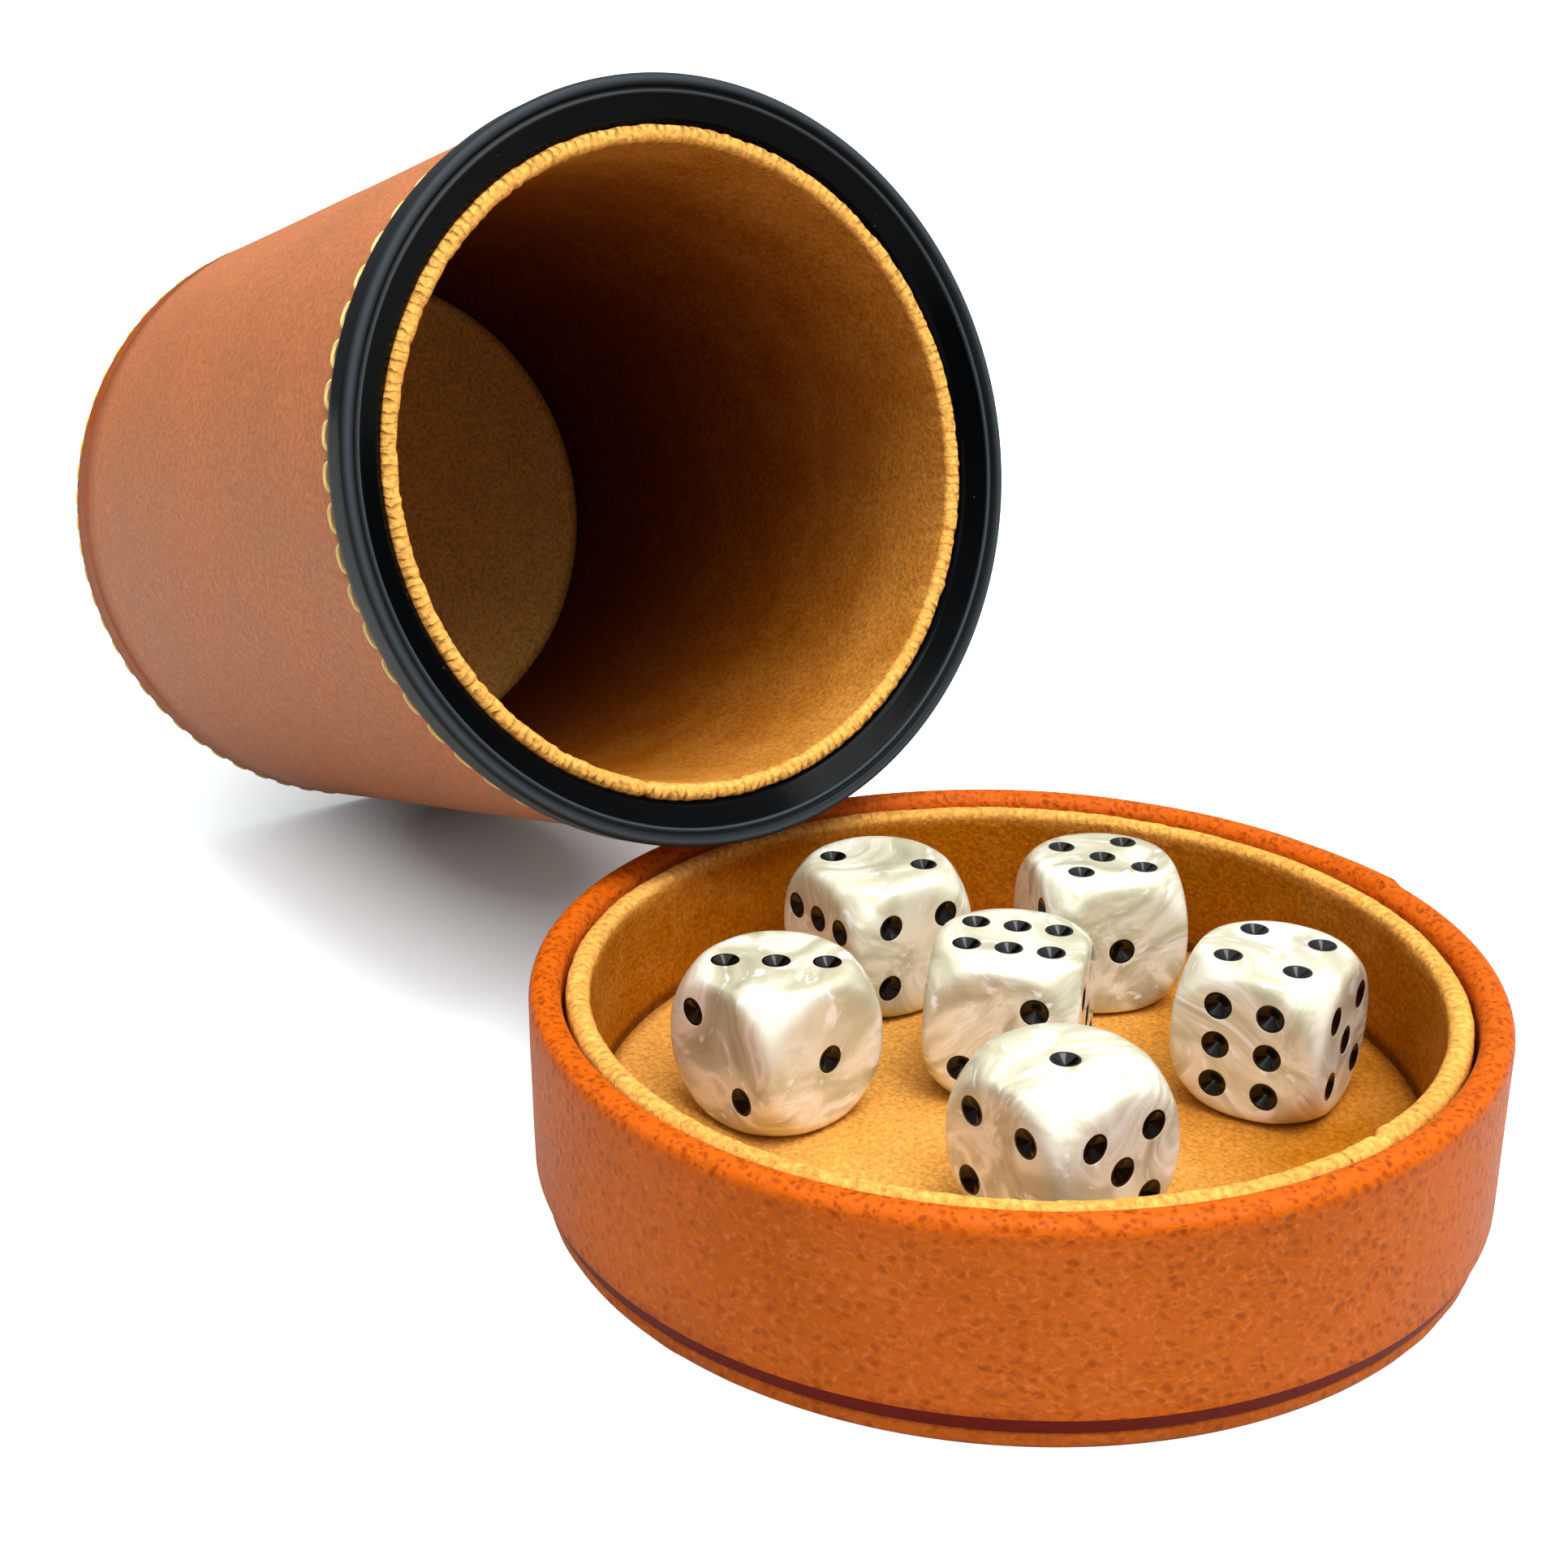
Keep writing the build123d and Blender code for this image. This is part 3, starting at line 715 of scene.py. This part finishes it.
class DICECUP_OT_lid_base(bpy.types.Operator):
    """Leather-covered base disc of the lid"""

    bl_idname = "dicecup.lid_base"
    bl_label = "Lid base"

    def execute(self, context):
        _, outer, _, top = LID_FOOT
        _, board, low, _ = LID_FOOT_BOARD
        high = top - low
        turn_in = board - LID_TURN_IN
        corners = [
            (0, 0), (outer, 0), (outer, top), (turn_in, top),
            (turn_in, high), (board, high), (board, low), (0, low),
        ]
        profile = outline(corners, [0, 0.6 * MM, 0.6 * MM, 0, 0, 0, 0, 0], 3 * MM, closed=False)
        steps = 960
        r, h = profile.T
        edge = near(r - outer, 2 * MM) * (h > 0.1 * MM)
        push = (patches(steps, len(profile), 9, 2.5, 3) - 0.6) * 0.11 * MM * edge
        # Painted shade on the base's top inside the groove
        marks = {"stretch": np.zeros(len(profile)), "groove": 0.8 * climb(h, top - 0.12 * MM, 0.1 * MM)}
        piece = turned_piece("lid_base_skin", profile, steps, LID, push, False, marks)
        dressed(piece, "lid", "lid_leather", "lid_base_leather")
        return {"FINISHED"}


class DICECUP_OT_lid_wall(bpy.types.Operator):
    """Leather round the lid's wall, over its rim and turned in, with an overlap seam"""

    bl_idname = "dicecup.lid_wall"
    bl_label = "Lid wall"

    def execute(self, context):
        s = context.scene.lid_sizes
        inner, outer, low, high = LID_SKIN
        board_in, board_out, _, board_top = LID_BOARD
        tuck = high - LID_TURN_IN
        thin, edge = board_out + 0.15 * MM, low + s.groove_height
        corners = [
            (board_out, low), (thin, low), (thin, edge), (outer, edge), (outer, high),
            (inner, high), (inner, tuck), (board_in, tuck), (board_in, board_top), (board_out, board_top),
        ]
        rounds = [0, 0, 0, s.groove, s.rim_round, s.rim_round, 0.2 * MM, 0, 0, 0]
        profile = outline(corners, rounds, 1.1 * MM, arc_steps=14)
        steps = 540
        r, h = profile.T
        outside = climb(r, thin, outer - thin)
        skin = np.maximum(outside, climb(h, board_top, high - board_top))
        on = around(steps, s.seam_at, s.seam_taper)[:, None]
        step = s.seam_step * np.clip(1 - on, 0, 1) ** 1.3 * np.clip(on * 60, 0, 1)
        waves = patches(steps, len(profile), 26, 5, 11) * 0.07 * MM
        push = (step - s.seam_step * 0.15 + waves) * skin
        rim = near(h - high, 1.7 * MM) * (h > tuck)
        # Painted highlight along the wall's lower edge
        foot_highlight = 0.7 * near(h - edge, 0.7 * MM) * outside
        # Painted shade in the groove under the wall's lower edge
        groove = (1 - climb(r, thin, 0.85 * MM)) * (h < edge + 0.1 * MM)
        marks = {"stretch": np.clip(rim + foot_highlight, 0, 1), "groove": groove}
        piece = turned_piece("lid_wall_skin", profile, steps, LID, push, True, marks)
        dressed(piece, "lid", "lid_leather", "lid_wall_leather")
        return {"FINISHED"}


class DICECUP_OT_lid_collar(bpy.types.Operator):
    """Velour on the lid's collar, folded over its top"""

    bl_idname = "dicecup.lid_collar"
    bl_label = "Lid collar velour"

    def execute(self, context):
        s = context.scene.lid_sizes
        _, _, low, high = COLLAR_VELOUR
        profile, outside, flat = folded_cloth(COLLAR_VELOUR, COLLAR_BOARD, COLLAR_FOLD, 0.9 * MM)
        steps = 720
        h = profile[:, 1]
        shown = climb(h, high - 2.5 * MM, 2 * MM) * outside
        fuzz = patches(steps, len(profile), 2.2, 1.6, 21) * 0.06 * MM
        wobble = patches(steps, len(profile), 16, 6, 22) * s.velour_wobble
        lean = np.clip((h - high) / (2 * MM), -1, 0)
        on = around(steps, s.collar_seam_at, math.radians(1.2))[:, None] + lean
        seam = near(on, 0.5) * -0.35 * MM + near(on - 1.3, 1) * 0.2 * MM
        fold = climb(h, high - 1.6 * MM, 1.2 * MM) * shown
        marks = {
            # The folded edge is painted paler as a painted highlight
            "nap": np.maximum(0.75 * fold, 0.02 * climb(h, low, high - low)),
            # Painted shade where the collar meets the lid's floor
            "sunk": 0.85 * near(h - LID_FLOOR[3], 0.7 * MM),
            "fold": 0.35 * fold,
            "lay": lay_of(profile, steps),
        }
        push = (fuzz + wobble + seam) * shown
        piece = turned_piece("lid_collar_velour", profile, steps, LID, push, True, marks)
        dressed(piece, "lid", "velour", "lid_collar_lining")
        return {"FINISHED"}


def floor_cloth(name, size, place, seed, nap, side_shade):
    """A velour disc: flat in the middle, its edge rounded down, darker towards one side and round its edge
    as painted shade.
    """
    _, outer, low, high = size
    profile = disc(size, 0, (high - low) * 0.8, 1.2 * MM)
    steps = 300
    r, h = profile.T
    top = h > (low + high) / 2
    waves = patches(steps, len(profile), 5, 5, seed) * 0.05 * MM * top
    push = waves * climb(r, 0, 8 * MM) - 0.05 * MM * top
    # Painted shade: less of the paler tips colour towards one side
    aside = np.cos(angles(steps)[:, None] - SHADED_SIDE) * r / outer
    stood = nap * (1 - side_shade * climb(aside, 0.1, 0.6))
    # Painted shade round the disc's edge, where it meets the wall
    marks = {"nap": stood.ravel(), "sunk": 0.8 * near(r - outer, 0.8 * MM)}
    return turned_piece(name, profile, steps, place, push, False, marks)


class DICECUP_OT_lid_floor(bpy.types.Operator):
    """Velour floor of the lid and the foam pad under it"""

    bl_idname = "dicecup.lid_floor"
    bl_label = "Lid floor"

    def execute(self, context):
        piece = floor_cloth("lid_floor_velour", LID_FLOOR, LID, 31, 0.55, 0.8)
        dressed(piece, "lid", "velour", "lid_floor_lining")
        profile = disc(LID_PAD, 0.3 * MM, 0.3 * MM, 3 * MM)
        pad = turned_piece("lid_floor_foam", profile, 240, LID, None, False)
        dressed(pad, "lid", "foam", "lid_floor_pad")
        return {"FINISHED"}


class DICECUP_OT_cup_base(bpy.types.Operator):
    """Leather disc under the cup"""

    bl_idname = "dicecup.cup_base"
    bl_label = "Cup base"

    def execute(self, context):
        profile = disc(CUP_FOOT, 0.3 * MM, 0.4 * MM, 2.5 * MM, arc_steps=5)
        # The base disc's unfinished edge is its own colour darkened as painted shade
        marks = {"raw": climb(profile[:, 0], CUP_FOOT[1] - 0.5 * MM, 0.2 * MM)}
        piece = turned_piece("cup_base_skin", profile, 432, CUP, None, False, marks)
        dressed(piece, "cup", "cup_leather", "cup_base_leather")
        return {"FINISHED"}


class DICECUP_OT_cup_wall(bpy.types.Operator):
    """Leather sleeve of the cup, pushed in at the stitches, with painted shade in the stitch holes, under
    the stitches and at the heel, and a pale cut edge beside the ring
    """

    bl_idname = "dicecup.cup_wall"
    bl_label = "Cup wall"

    def execute(self, context):
        t = context.scene.thread_sizes
        inner, heel, low, high = CUP_SKIN
        fine_from = high - 2.6 * MM
        corners = [
            (inner, low), (heel, low), (CUP_RADIUS, low + HEEL_FLARE),
            (CUP_RADIUS, fine_from), (CUP_RADIUS, high), (inner, high),
        ]
        profile = outline(corners, [0, 0.5 * MM, 0.6 * MM, 0, 0.25 * MM, 0], 2.7 * MM, arc_steps=6)
        # Finer where the stitches press the leather in
        run = [(CUP_RADIUS, fine_from), (CUP_RADIUS, high - 0.3 * MM)]
        fine = outline(run, [0, 0], 0.2 * MM, closed=False)
        at = np.argmin(np.hypot(*(profile - fine[0]).T))
        profile = np.concatenate([profile[: at + 1], fine[1:-1], profile[at + 1 :]])
        steps = t.rim_count * STEPS_A_STITCH
        r, h = profile.T
        outside = r > inner + 0.5 * MM
        seat = high - t.rim_drop
        turnover = (np.arange(steps) / STEPS_A_STITCH) % 1
        hole = near((turnover - HOLE_AT + 0.5) % 1 - 0.5, 0.08)[:, None]
        bow = t.bow * np.sin(math.pi * np.clip(turnover / 0.8, 0, 1))[:, None]
        # Painted shadow under each stitch's bow
        under = near(h - seat + 0.5 * bow, 0.3 * MM) * (bow > 0.3 * t.bow)
        line = near(h - seat, 0.45 * MM)
        waves = patches(steps, len(profile), 60, 6, 41) * 0.08 * MM
        push = (waves - 0.35 * MM * hole * line - 0.12 * MM * line) * outside
        # Painted shade in the stitch holes and under the stitches
        pressed = np.maximum(hole * near(h - seat, 0.35 * MM), under) * outside
        marks = {
            "cut": climb(h, seat + 0.1 * MM, 0.1 * MM),
            "pressed": pressed.ravel(),
            # Painted shade towards the heel
            "band": 0.85 * (1 - climb(h, low + 4 * MM, 4.5 * MM)),
        }
        piece = turned_piece("cup_wall_skin", profile, steps, CUP, push, True, marks)
        dressed(piece, "cup", "cup_leather", "cup_wall_leather")
        return {"FINISHED"}


class DICECUP_OT_cup_ring(bpy.types.Operator):
    """Moulded ring on the mouth: bead, groove, ridge, sloping land and hidden spigot"""

    bl_idname = "dicecup.cup_ring"
    bl_label = "Cup ring"

    def execute(self, context):
        inner, outer, low, high = RING
        back, velour_top = CUP_SKIN[3], CUP_VELOUR[3]
        ridge = outer - 1.95 * MM
        dish = high - context.scene.cup_sizes.ring_dish
        corners = [
            (inner, low), (inner + SPIGOT, low), (inner + SPIGOT, back), (outer, back), (outer, high),
            (outer - 1.2 * MM, high), (outer - 1.5 * MM, dish), (ridge, high - 0.4 * MM),
            (ridge - 0.25 * MM, high - 0.75 * MM), (inner, velour_top - 0.35 * MM),
        ]
        rounds = [0, 0, 0.1 * MM, 0.4 * MM, 0.65 * MM, 0.45 * MM, 0.1 * MM, 0.1 * MM, 0.1 * MM, 0]
        profile = outline(corners, rounds, 0.7 * MM)
        r, h = profile.T
        # Painted highlights on the bead's top, its outer side and the ridge
        bead = 0.7 * near(r - outer + 0.62 * MM, 0.42 * MM) * (h > high - 0.5 * MM)
        side = 0.12 * (h > back) * (r > ridge)
        bright = near(r - ridge, 0.14 * MM) * (h > high - 0.6 * MM)
        marks = {"bead": np.clip(np.maximum(bead + side, bright), 0, 1)}
        piece = turned_piece("cup_ring", profile, 540, CUP, None, True, marks)
        dressed(piece, "cup", "black_plastic", "cup_rim_ring")
        return {"FINISHED"}


class DICECUP_OT_cup_lining(bpy.types.Operator):
    """Velour inside the cup, folded over its board with small wrinkles, and the velour floor"""

    bl_idname = "dicecup.cup_lining"
    bl_label = "Cup velour"

    def execute(self, context):
        s = context.scene.cup_sizes
        inner, outer, low, high = CUP_VELOUR
        profile, outside, flat = folded_cloth(CUP_VELOUR, CUP_INNER_BOARD, CUP_FOLD, 3.2 * MM)
        steps = 1080
        r, h = profile.T
        shown = climb(h, high - 2.0 * MM, 1.4 * MM) * outside
        spread = steps * s.wrinkle_spacing / (2 * math.pi * outer)
        across = patches(steps, len(profile), spread * 0.55, 9, 51)
        wrinkles = np.minimum(across, 0.15) * s.velour_wrinkle
        fuzz = patches(steps, len(profile), 2.0, 1.5, 52) * 0.05 * MM
        on = around(steps, s.seam_at, math.radians(1.0))[:, None]
        seam = np.exp(-(on**2) * 3) * -0.3 * MM
        fold = climb(h, high - 1.4 * MM, 1.2 * MM) * shown
        rise = (h - low) / (high - low)
        width = outer - inner
        marks = {
            # The fold is painted paler as a painted highlight, and the wall's upper half as painted light
            "nap": np.maximum(fold, 0.3 * climb(rise, 0.5, 0.5) ** 1.3),
            # Painted shade, growing towards the cup's floor
            "sunk": (1 - climb(rise, 0, 0.9)) ** 0.55,
            "fold": fold * (0.25 + 0.75 * climb(r, inner + 0.35 * width, 0.5 * width)),
            "lay": lay_of(profile, steps),
        }
        push = (wrinkles + fuzz + seam) * shown
        piece = turned_piece("cup_velour", profile, steps, CUP, push, True, marks)
        dressed(piece, "cup", "velour", "cup_lining")
        floor = floor_cloth("cup_floor_velour", CUP_FLOOR, CUP, 53, 1.0, 0.0)
        dressed(floor, "cup", "velour", "cup_floor_lining")
        return {"FINISHED"}


def stitch_points(count, radius, height, bow, thickness, loft, share=0.86, dive=0.6 * MM, sides=8, steps=15):
    """Loops of thread end to end round the cup, as tubes with closed ends.

    Along a stitch t runs from 0 to 1: the middle line lies at angle (i + share t) of the pitch and at
    radius + loft sin(pi t) - dive (2t - 1)^6, at height - bow sin(pi t), and the tube closes at both ends.
    """
    t = np.linspace(0, 1, steps)
    pitch = 2 * math.pi / count
    a = (np.arange(count)[:, None] + share * t) * pitch
    lift = radius + loft * np.sin(math.pi * t) - dive * np.abs(2 * t - 1) ** 6
    middle = height - bow * np.sin(math.pi * t)
    size = thickness / 2 * np.clip(1 - np.abs(2 * t - 1) ** 12, 0, 1)
    turn = circle(sides)
    r = lift[:, None] + size[:, None] * turn[:, 0]
    h = middle[:, None] + size[:, None] * turn[:, 1]
    a = a[:, :, None]
    points = np.stack([r * np.cos(a), r * np.sin(a), np.broadcast_to(h, (count, steps, sides))], 3)
    one = quads(steps, sides, False, True)
    faces = (one[None] + np.arange(count)[:, None, None] * steps * sides).reshape(-1, 4)[:, ::-1]
    u = np.tile(np.repeat(t, sides), count)
    v = np.tile(np.arange(sides) / sides, count * steps)
    return points.reshape(-1, 3), faces, np.column_stack([u, v])


class DICECUP_OT_thread(bpy.types.Operator):
    """Sewing thread round the mouth and round the base"""

    bl_idname = "dicecup.thread"
    bl_label = "Thread"

    def execute(self, context):
        t = context.scene.thread_sizes
        seam = (BASE_THREAD[2] + BASE_THREAD[3]) / 2
        rows = {
            "rim": (t.rim_count, CUP_RADIUS + 0.24 * MM, CUP_SKIN[3] - t.rim_drop, t.bow, t.thickness),
            "base": (t.base_count, BASE_THREAD[1] - 0.3 * MM, seam, 0.0, t.base_thickness),
        }
        turn, origin = CUP
        for name, sizes in rows.items():
            points, faces, uv = stitch_points(*sizes, t.loft)
            piece = mesh_object(f"cup_{name}_thread", points @ turn.T + origin, faces, uv)
            dressed(piece, "cup", "yellow_thread", f"cup_{name}_stitches")
        return {"FINISHED"}


def die_face(centres, half, radius, rows=44, sides=28):
    """A net of triangles over a die's square face, with a round hole for each pip.

    Grid lines lie at half * tan(i pi / 4) for i from -1 to 1, and the net is a Delaunay net of what is left
    of the grid and of a ring round each pip. Returns points (x, y) and triangles.
    """
    line = half * np.tan(np.linspace(-1, 1, rows + 1) * math.pi / 4)
    grid = np.stack(np.meshgrid(line, line, indexing="ij"), 2).reshape(-1, 2)
    grid = grid[np.linalg.norm(grid[:, None] - centres, axis=2).min(1) > radius + 0.12 * MM]
    points = np.concatenate([grid, (centres[:, None] + radius * circle(sides)).reshape(-1, 2)])
    first = len(grid) + np.arange(len(centres))[:, None] * sides
    ring = np.stack([first + np.arange(sides), first + (np.arange(sides) + 1) % sides], 2).reshape(-1, 2)
    net = delaunay_2d_cdt([Vector(point) for point in points / half], ring.tolist(), [], 0, 1e-6)
    points = np.array([tuple(point) for point in net[0]]) * half
    faces = np.array([tuple(face) for face in net[2]])
    middle = points[faces].mean(1)
    faces = faces[np.linalg.norm(middle[:, None] - centres, axis=2).min(1) > radius]
    return points, faces


def pip_cone(centre, half, radius, depth, sides=28):
    """A strip of triangles from a pip's ring to its edge, and a cone from there to its point."""
    ring = circle(sides)
    rings = np.concatenate([centre + (radius + PIP_LIP) * ring, centre + radius * ring, [centre]])
    height = np.r_[np.full(2 * sides, half), half - depth]
    i = np.arange(sides)
    j = (i + 1) % sides
    strip = np.concatenate([np.column_stack([i, j, j + sides]), np.column_stack([i, j + sides, i + sides])])
    cone = np.column_stack([i + sides, j + sides, np.full(sides, 2 * sides)])
    return rings, height, np.concatenate([strip, cone])


def die_piece(number, s):
    """A die: each face of a cube blended with a ball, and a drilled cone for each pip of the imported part.

    A point in direction (x, y, z) from the middle lies at
    ((|x|/a)^n + (|y|/a)^n + (|z|/a)^n + (1/b)^n)^(-1/n), with a half the die's edge and b the ball's radius.
    """
    corners = node_points(f"die_{number}")
    middle = (corners.min(0) + corners.max(0)) / 2
    half = (corners[:, 2].max() - corners[:, 2].min()) / 2
    upright = [face for face in NODES[f"die_{number}"].data.polygons if abs(face.normal.z) < 0.001]
    ahead = np.array(max(upright, key=lambda face: face.area).normal, float)
    axes = np.column_stack([ahead, np.cross((0, 0, 1), ahead), (0, 0, 1)])
    paint = (node_points(f"die_{number}_pips") - middle) @ axes
    radius = s.pip_width / 2
    depth = radius / math.tan(s.pip_point / 2)
    points, faces, uv, count = [], [], [], 0
    for side in range(6):
        axis, sign = side % 3, 1 - 2 * (side // 3)
        others = [(axis + 1) % 3, (axis + 2) % 3]
        # The points of this face's pips, each taken once
        tips = paint[np.abs(paint[:, axis] * sign - half + depth) < 0.03 * MM][:, others]
        _, first = np.unique(np.round(tips / (0.2 * MM)), axis=0, return_index=True)
        centres = tips[first]
        net, triangles = die_face(centres, half, radius + PIP_LIP)
        parts = [(net, np.full(len(net), half), triangles)]
        parts += [pip_cone(centre, half, radius, depth) for centre in centres]
        for flat, height, triangles in parts:
            local = np.empty((len(flat), 3))
            local[:, others] = flat
            local[:, axis] = sign * height
            way = local / np.linalg.norm(local, axis=1, keepdims=True)
            reached = ((np.abs(way) / half) ** s.blend).sum(1) + s.ball ** -s.blend
            shaped = way * reached[:, None] ** (-1 / s.blend)
            points.append(np.where((height == half)[:, None], shaped, local))
            faces.append(triangles[:, ::sign] + count)
            uv.append(flat / (2 * half) + 0.5)
            count += len(flat)
    points = np.concatenate(points) @ axes.T + middle
    return mesh_object(f"pearl_die_{number}", points, np.concatenate(faces), np.concatenate(uv))


class DICECUP_OT_dice(bpy.types.Operator):
    """Pearl dice and their black pips"""

    bl_idname = "dicecup.dice"
    bl_label = "Dice"

    def execute(self, context):
        for number in range(1, 7):
            die = f"die_{number}"
            dressed(die_piece(number, context.scene.dice_sizes), die, "pearl_acrylic", die)
            painted(f"{die}_pips", "pip_paint")
        return {"FINISHED"}


class DICECUP_OT_boards(bpy.types.Operator):
    """Grey boards inside the walls, bases and floors"""

    bl_idname = "dicecup.boards"
    bl_label = "Boards"

    def execute(self, context):
        for node in NODES:
            if node.endswith("_board"):
                painted(node, "grey_board")
        return {"FINISHED"}


def lamp(name, power, size, place, target):
    """A square lamp of white light that points at a place."""
    data = bpy.data.lights.new(name, "AREA")
    data.energy = power
    data.size = size
    made = bpy.data.objects.new(name, data)
    bpy.context.scene.collection.objects.link(made)
    made.location = place
    made.rotation_euler = (Vector(target) - Vector(place)).to_track_quat("-Z", "Y").to_euler()


class DICECUP_OT_studio(bpy.types.Operator):
    """White table, soft lamps, even sky and the camera"""

    bl_idname = "dicecup.studio"
    bl_label = "Studio"

    def execute(self, context):
        scene = context.scene
        s = scene.studio
        rings = np.column_stack([[0.0, 0.3, 1.0, 3.0], np.full(4, -0.00005)])
        points = turned(rings, 48).reshape(-1, 3)
        floor = mesh_object("table_top", points, quads(48, 4, True, False)[:, ::-1])
        made = bpy.data.materials.new("white_table")
        add = emptied(made)
        board = add("BsdfDiffuse", {"Color": linear("#e8f6f9")})
        dull = add("BsdfDiffuse", {"Color": linear("#b3aca2")})
        # The table shines by itself from 68 mm off the cup's middle, and leaves its shadow below it
        middle = (CUP[1][0] + 0.039, CUP[1][1], 0.0)
        off = add("VectorMath", [add("TexCoord").outputs["Object"], middle], operation="SUBTRACT")
        off = add("VectorMath", [off, (0.45, 1.0, 1.0)], operation="MULTIPLY")
        away = add("VectorMath", [off], operation="LENGTH").outputs["Value"]
        shine = add("MapRange", [away, 0.008, 0.068, 0.0, 1.0])
        glow = add("Emission", {"Color": grey(1), "Strength": shine})
        both = add("AddShader", [board, glow])
        rays = add("LightPath").outputs
        mirrored = [rays["Is Glossy Ray"], 0.4, rays["Is Camera Ray"]]
        seen = add("Math", mirrored, operation="MULTIPLY_ADD")
        seen = add("Math", [seen, rays["Is Transmission Ray"]], operation="MAXIMUM")
        add("OutputMaterial", {"Surface": add("MixShader", [seen, dull, both])})
        floor.data.materials.append(made)
        lamp("key_lamp", s.key, 0.5, (0.24, 0.05, 0.7), (-0.03, 0, 0.03))
        lamp("fill_lamp", s.fill, 0.4, (0.45, -0.5, 0.45), (-0.05, 0, 0.04))
        scene.world = bpy.data.worlds.new("studio_air")
        add = emptied(scene.world)
        rays = add("LightPath").outputs
        direct = [rays["Is Camera Ray"], rays["Is Transmission Ray"]]
        clear = add("Math", direct, operation="MAXIMUM")
        way = add("SeparateXYZ", [add("TexCoord").outputs["Generated"]]).outputs["Z"]
        climbing = [way, 0.15, 0.95, s.horizon, s.sky]
        lift = add("MapRange", climbing, interpolation_type="SMOOTHSTEP")
        sky = add("Background", {"Color": grey(1), "Strength": add("Mix", {0: clear, 2: lift, 3: 1.0})})
        add("OutputWorld", {"Surface": sky})
        camera = bpy.data.objects.new("camera", bpy.data.cameras.new("camera"))
        scene.collection.objects.link(camera)
        camera.data.sensor_fit = "HORIZONTAL"
        camera.data.sensor_width = 36
        camera.data.lens = s.lens / MM
        camera.data.clip_start = 0.01
        camera.data.clip_end = 20
        ahead, right = Vector(CAMERA_AHEAD).normalized(), Vector(CAMERA_RIGHT)
        turn = Matrix((right, right.cross(ahead), -ahead)).transposed()
        camera.matrix_world = Matrix.Translation(CAMERA_PLACE) @ turn.to_4x4()
        scene.camera = camera
        scene.view_settings.view_transform = "Standard"
        return {"FINISHED"}


OPERATORS = (
    DICECUP_OT_lid_base,
    DICECUP_OT_lid_wall,
    DICECUP_OT_lid_collar,
    DICECUP_OT_lid_floor,
    DICECUP_OT_cup_base,
    DICECUP_OT_cup_wall,
    DICECUP_OT_cup_ring,
    DICECUP_OT_cup_lining,
    DICECUP_OT_thread,
    DICECUP_OT_dice,
    DICECUP_OT_boards,
    DICECUP_OT_studio,
)


class DICECUP_PT_panel(bpy.types.Panel):
    """Lists the pieces of the dice cup"""

    bl_label = "Dice cup"
    bl_idname = "DICECUP_PT_panel"
    bl_space_type = "VIEW_3D"
    bl_region_type = "UI"
    bl_category = "Dice cup"

    def draw(self, context):
        for group in ("lid_sizes", "cup_sizes", "thread_sizes", "dice_sizes", "cup_finishes", "studio"):
            box = self.layout.box()
            settings = getattr(context.scene, group)
            for key in settings.bl_rna.properties.keys():
                if key not in ("rna_type", "name"):
                    box.prop(settings, key)
        for operator in OPERATORS:
            self.layout.operator(operator.bl_idname)


GROUPS = {
    "lid_sizes": LidSettings,
    "cup_sizes": CupSettings,
    "thread_sizes": ThreadSettings,
    "dice_sizes": DiceSettings,
    "cup_finishes": FinishSettings,
    "studio": StudioSettings,
}


def register():
    for group in GROUPS.values():
        bpy.utils.register_class(group)
    for operator in OPERATORS:
        bpy.utils.register_class(operator)
    bpy.utils.register_class(DICECUP_PT_panel)
    for name, group in GROUPS.items():
        setattr(bpy.types.Scene, name, PointerProperty(type=group))


def unregister():
    for name in GROUPS:
        delattr(bpy.types.Scene, name)
    bpy.utils.unregister_class(DICECUP_PT_panel)
    for operator in reversed(OPERATORS):
        bpy.utils.unregister_class(operator)
    for group in reversed(list(GROUPS.values())):
        bpy.utils.unregister_class(group)


def main():
    register()
    for operator in OPERATORS:
        group, name = operator.bl_idname.split(".")
        getattr(getattr(bpy.ops, group), name)()


if __name__ == "__main__":
    main()
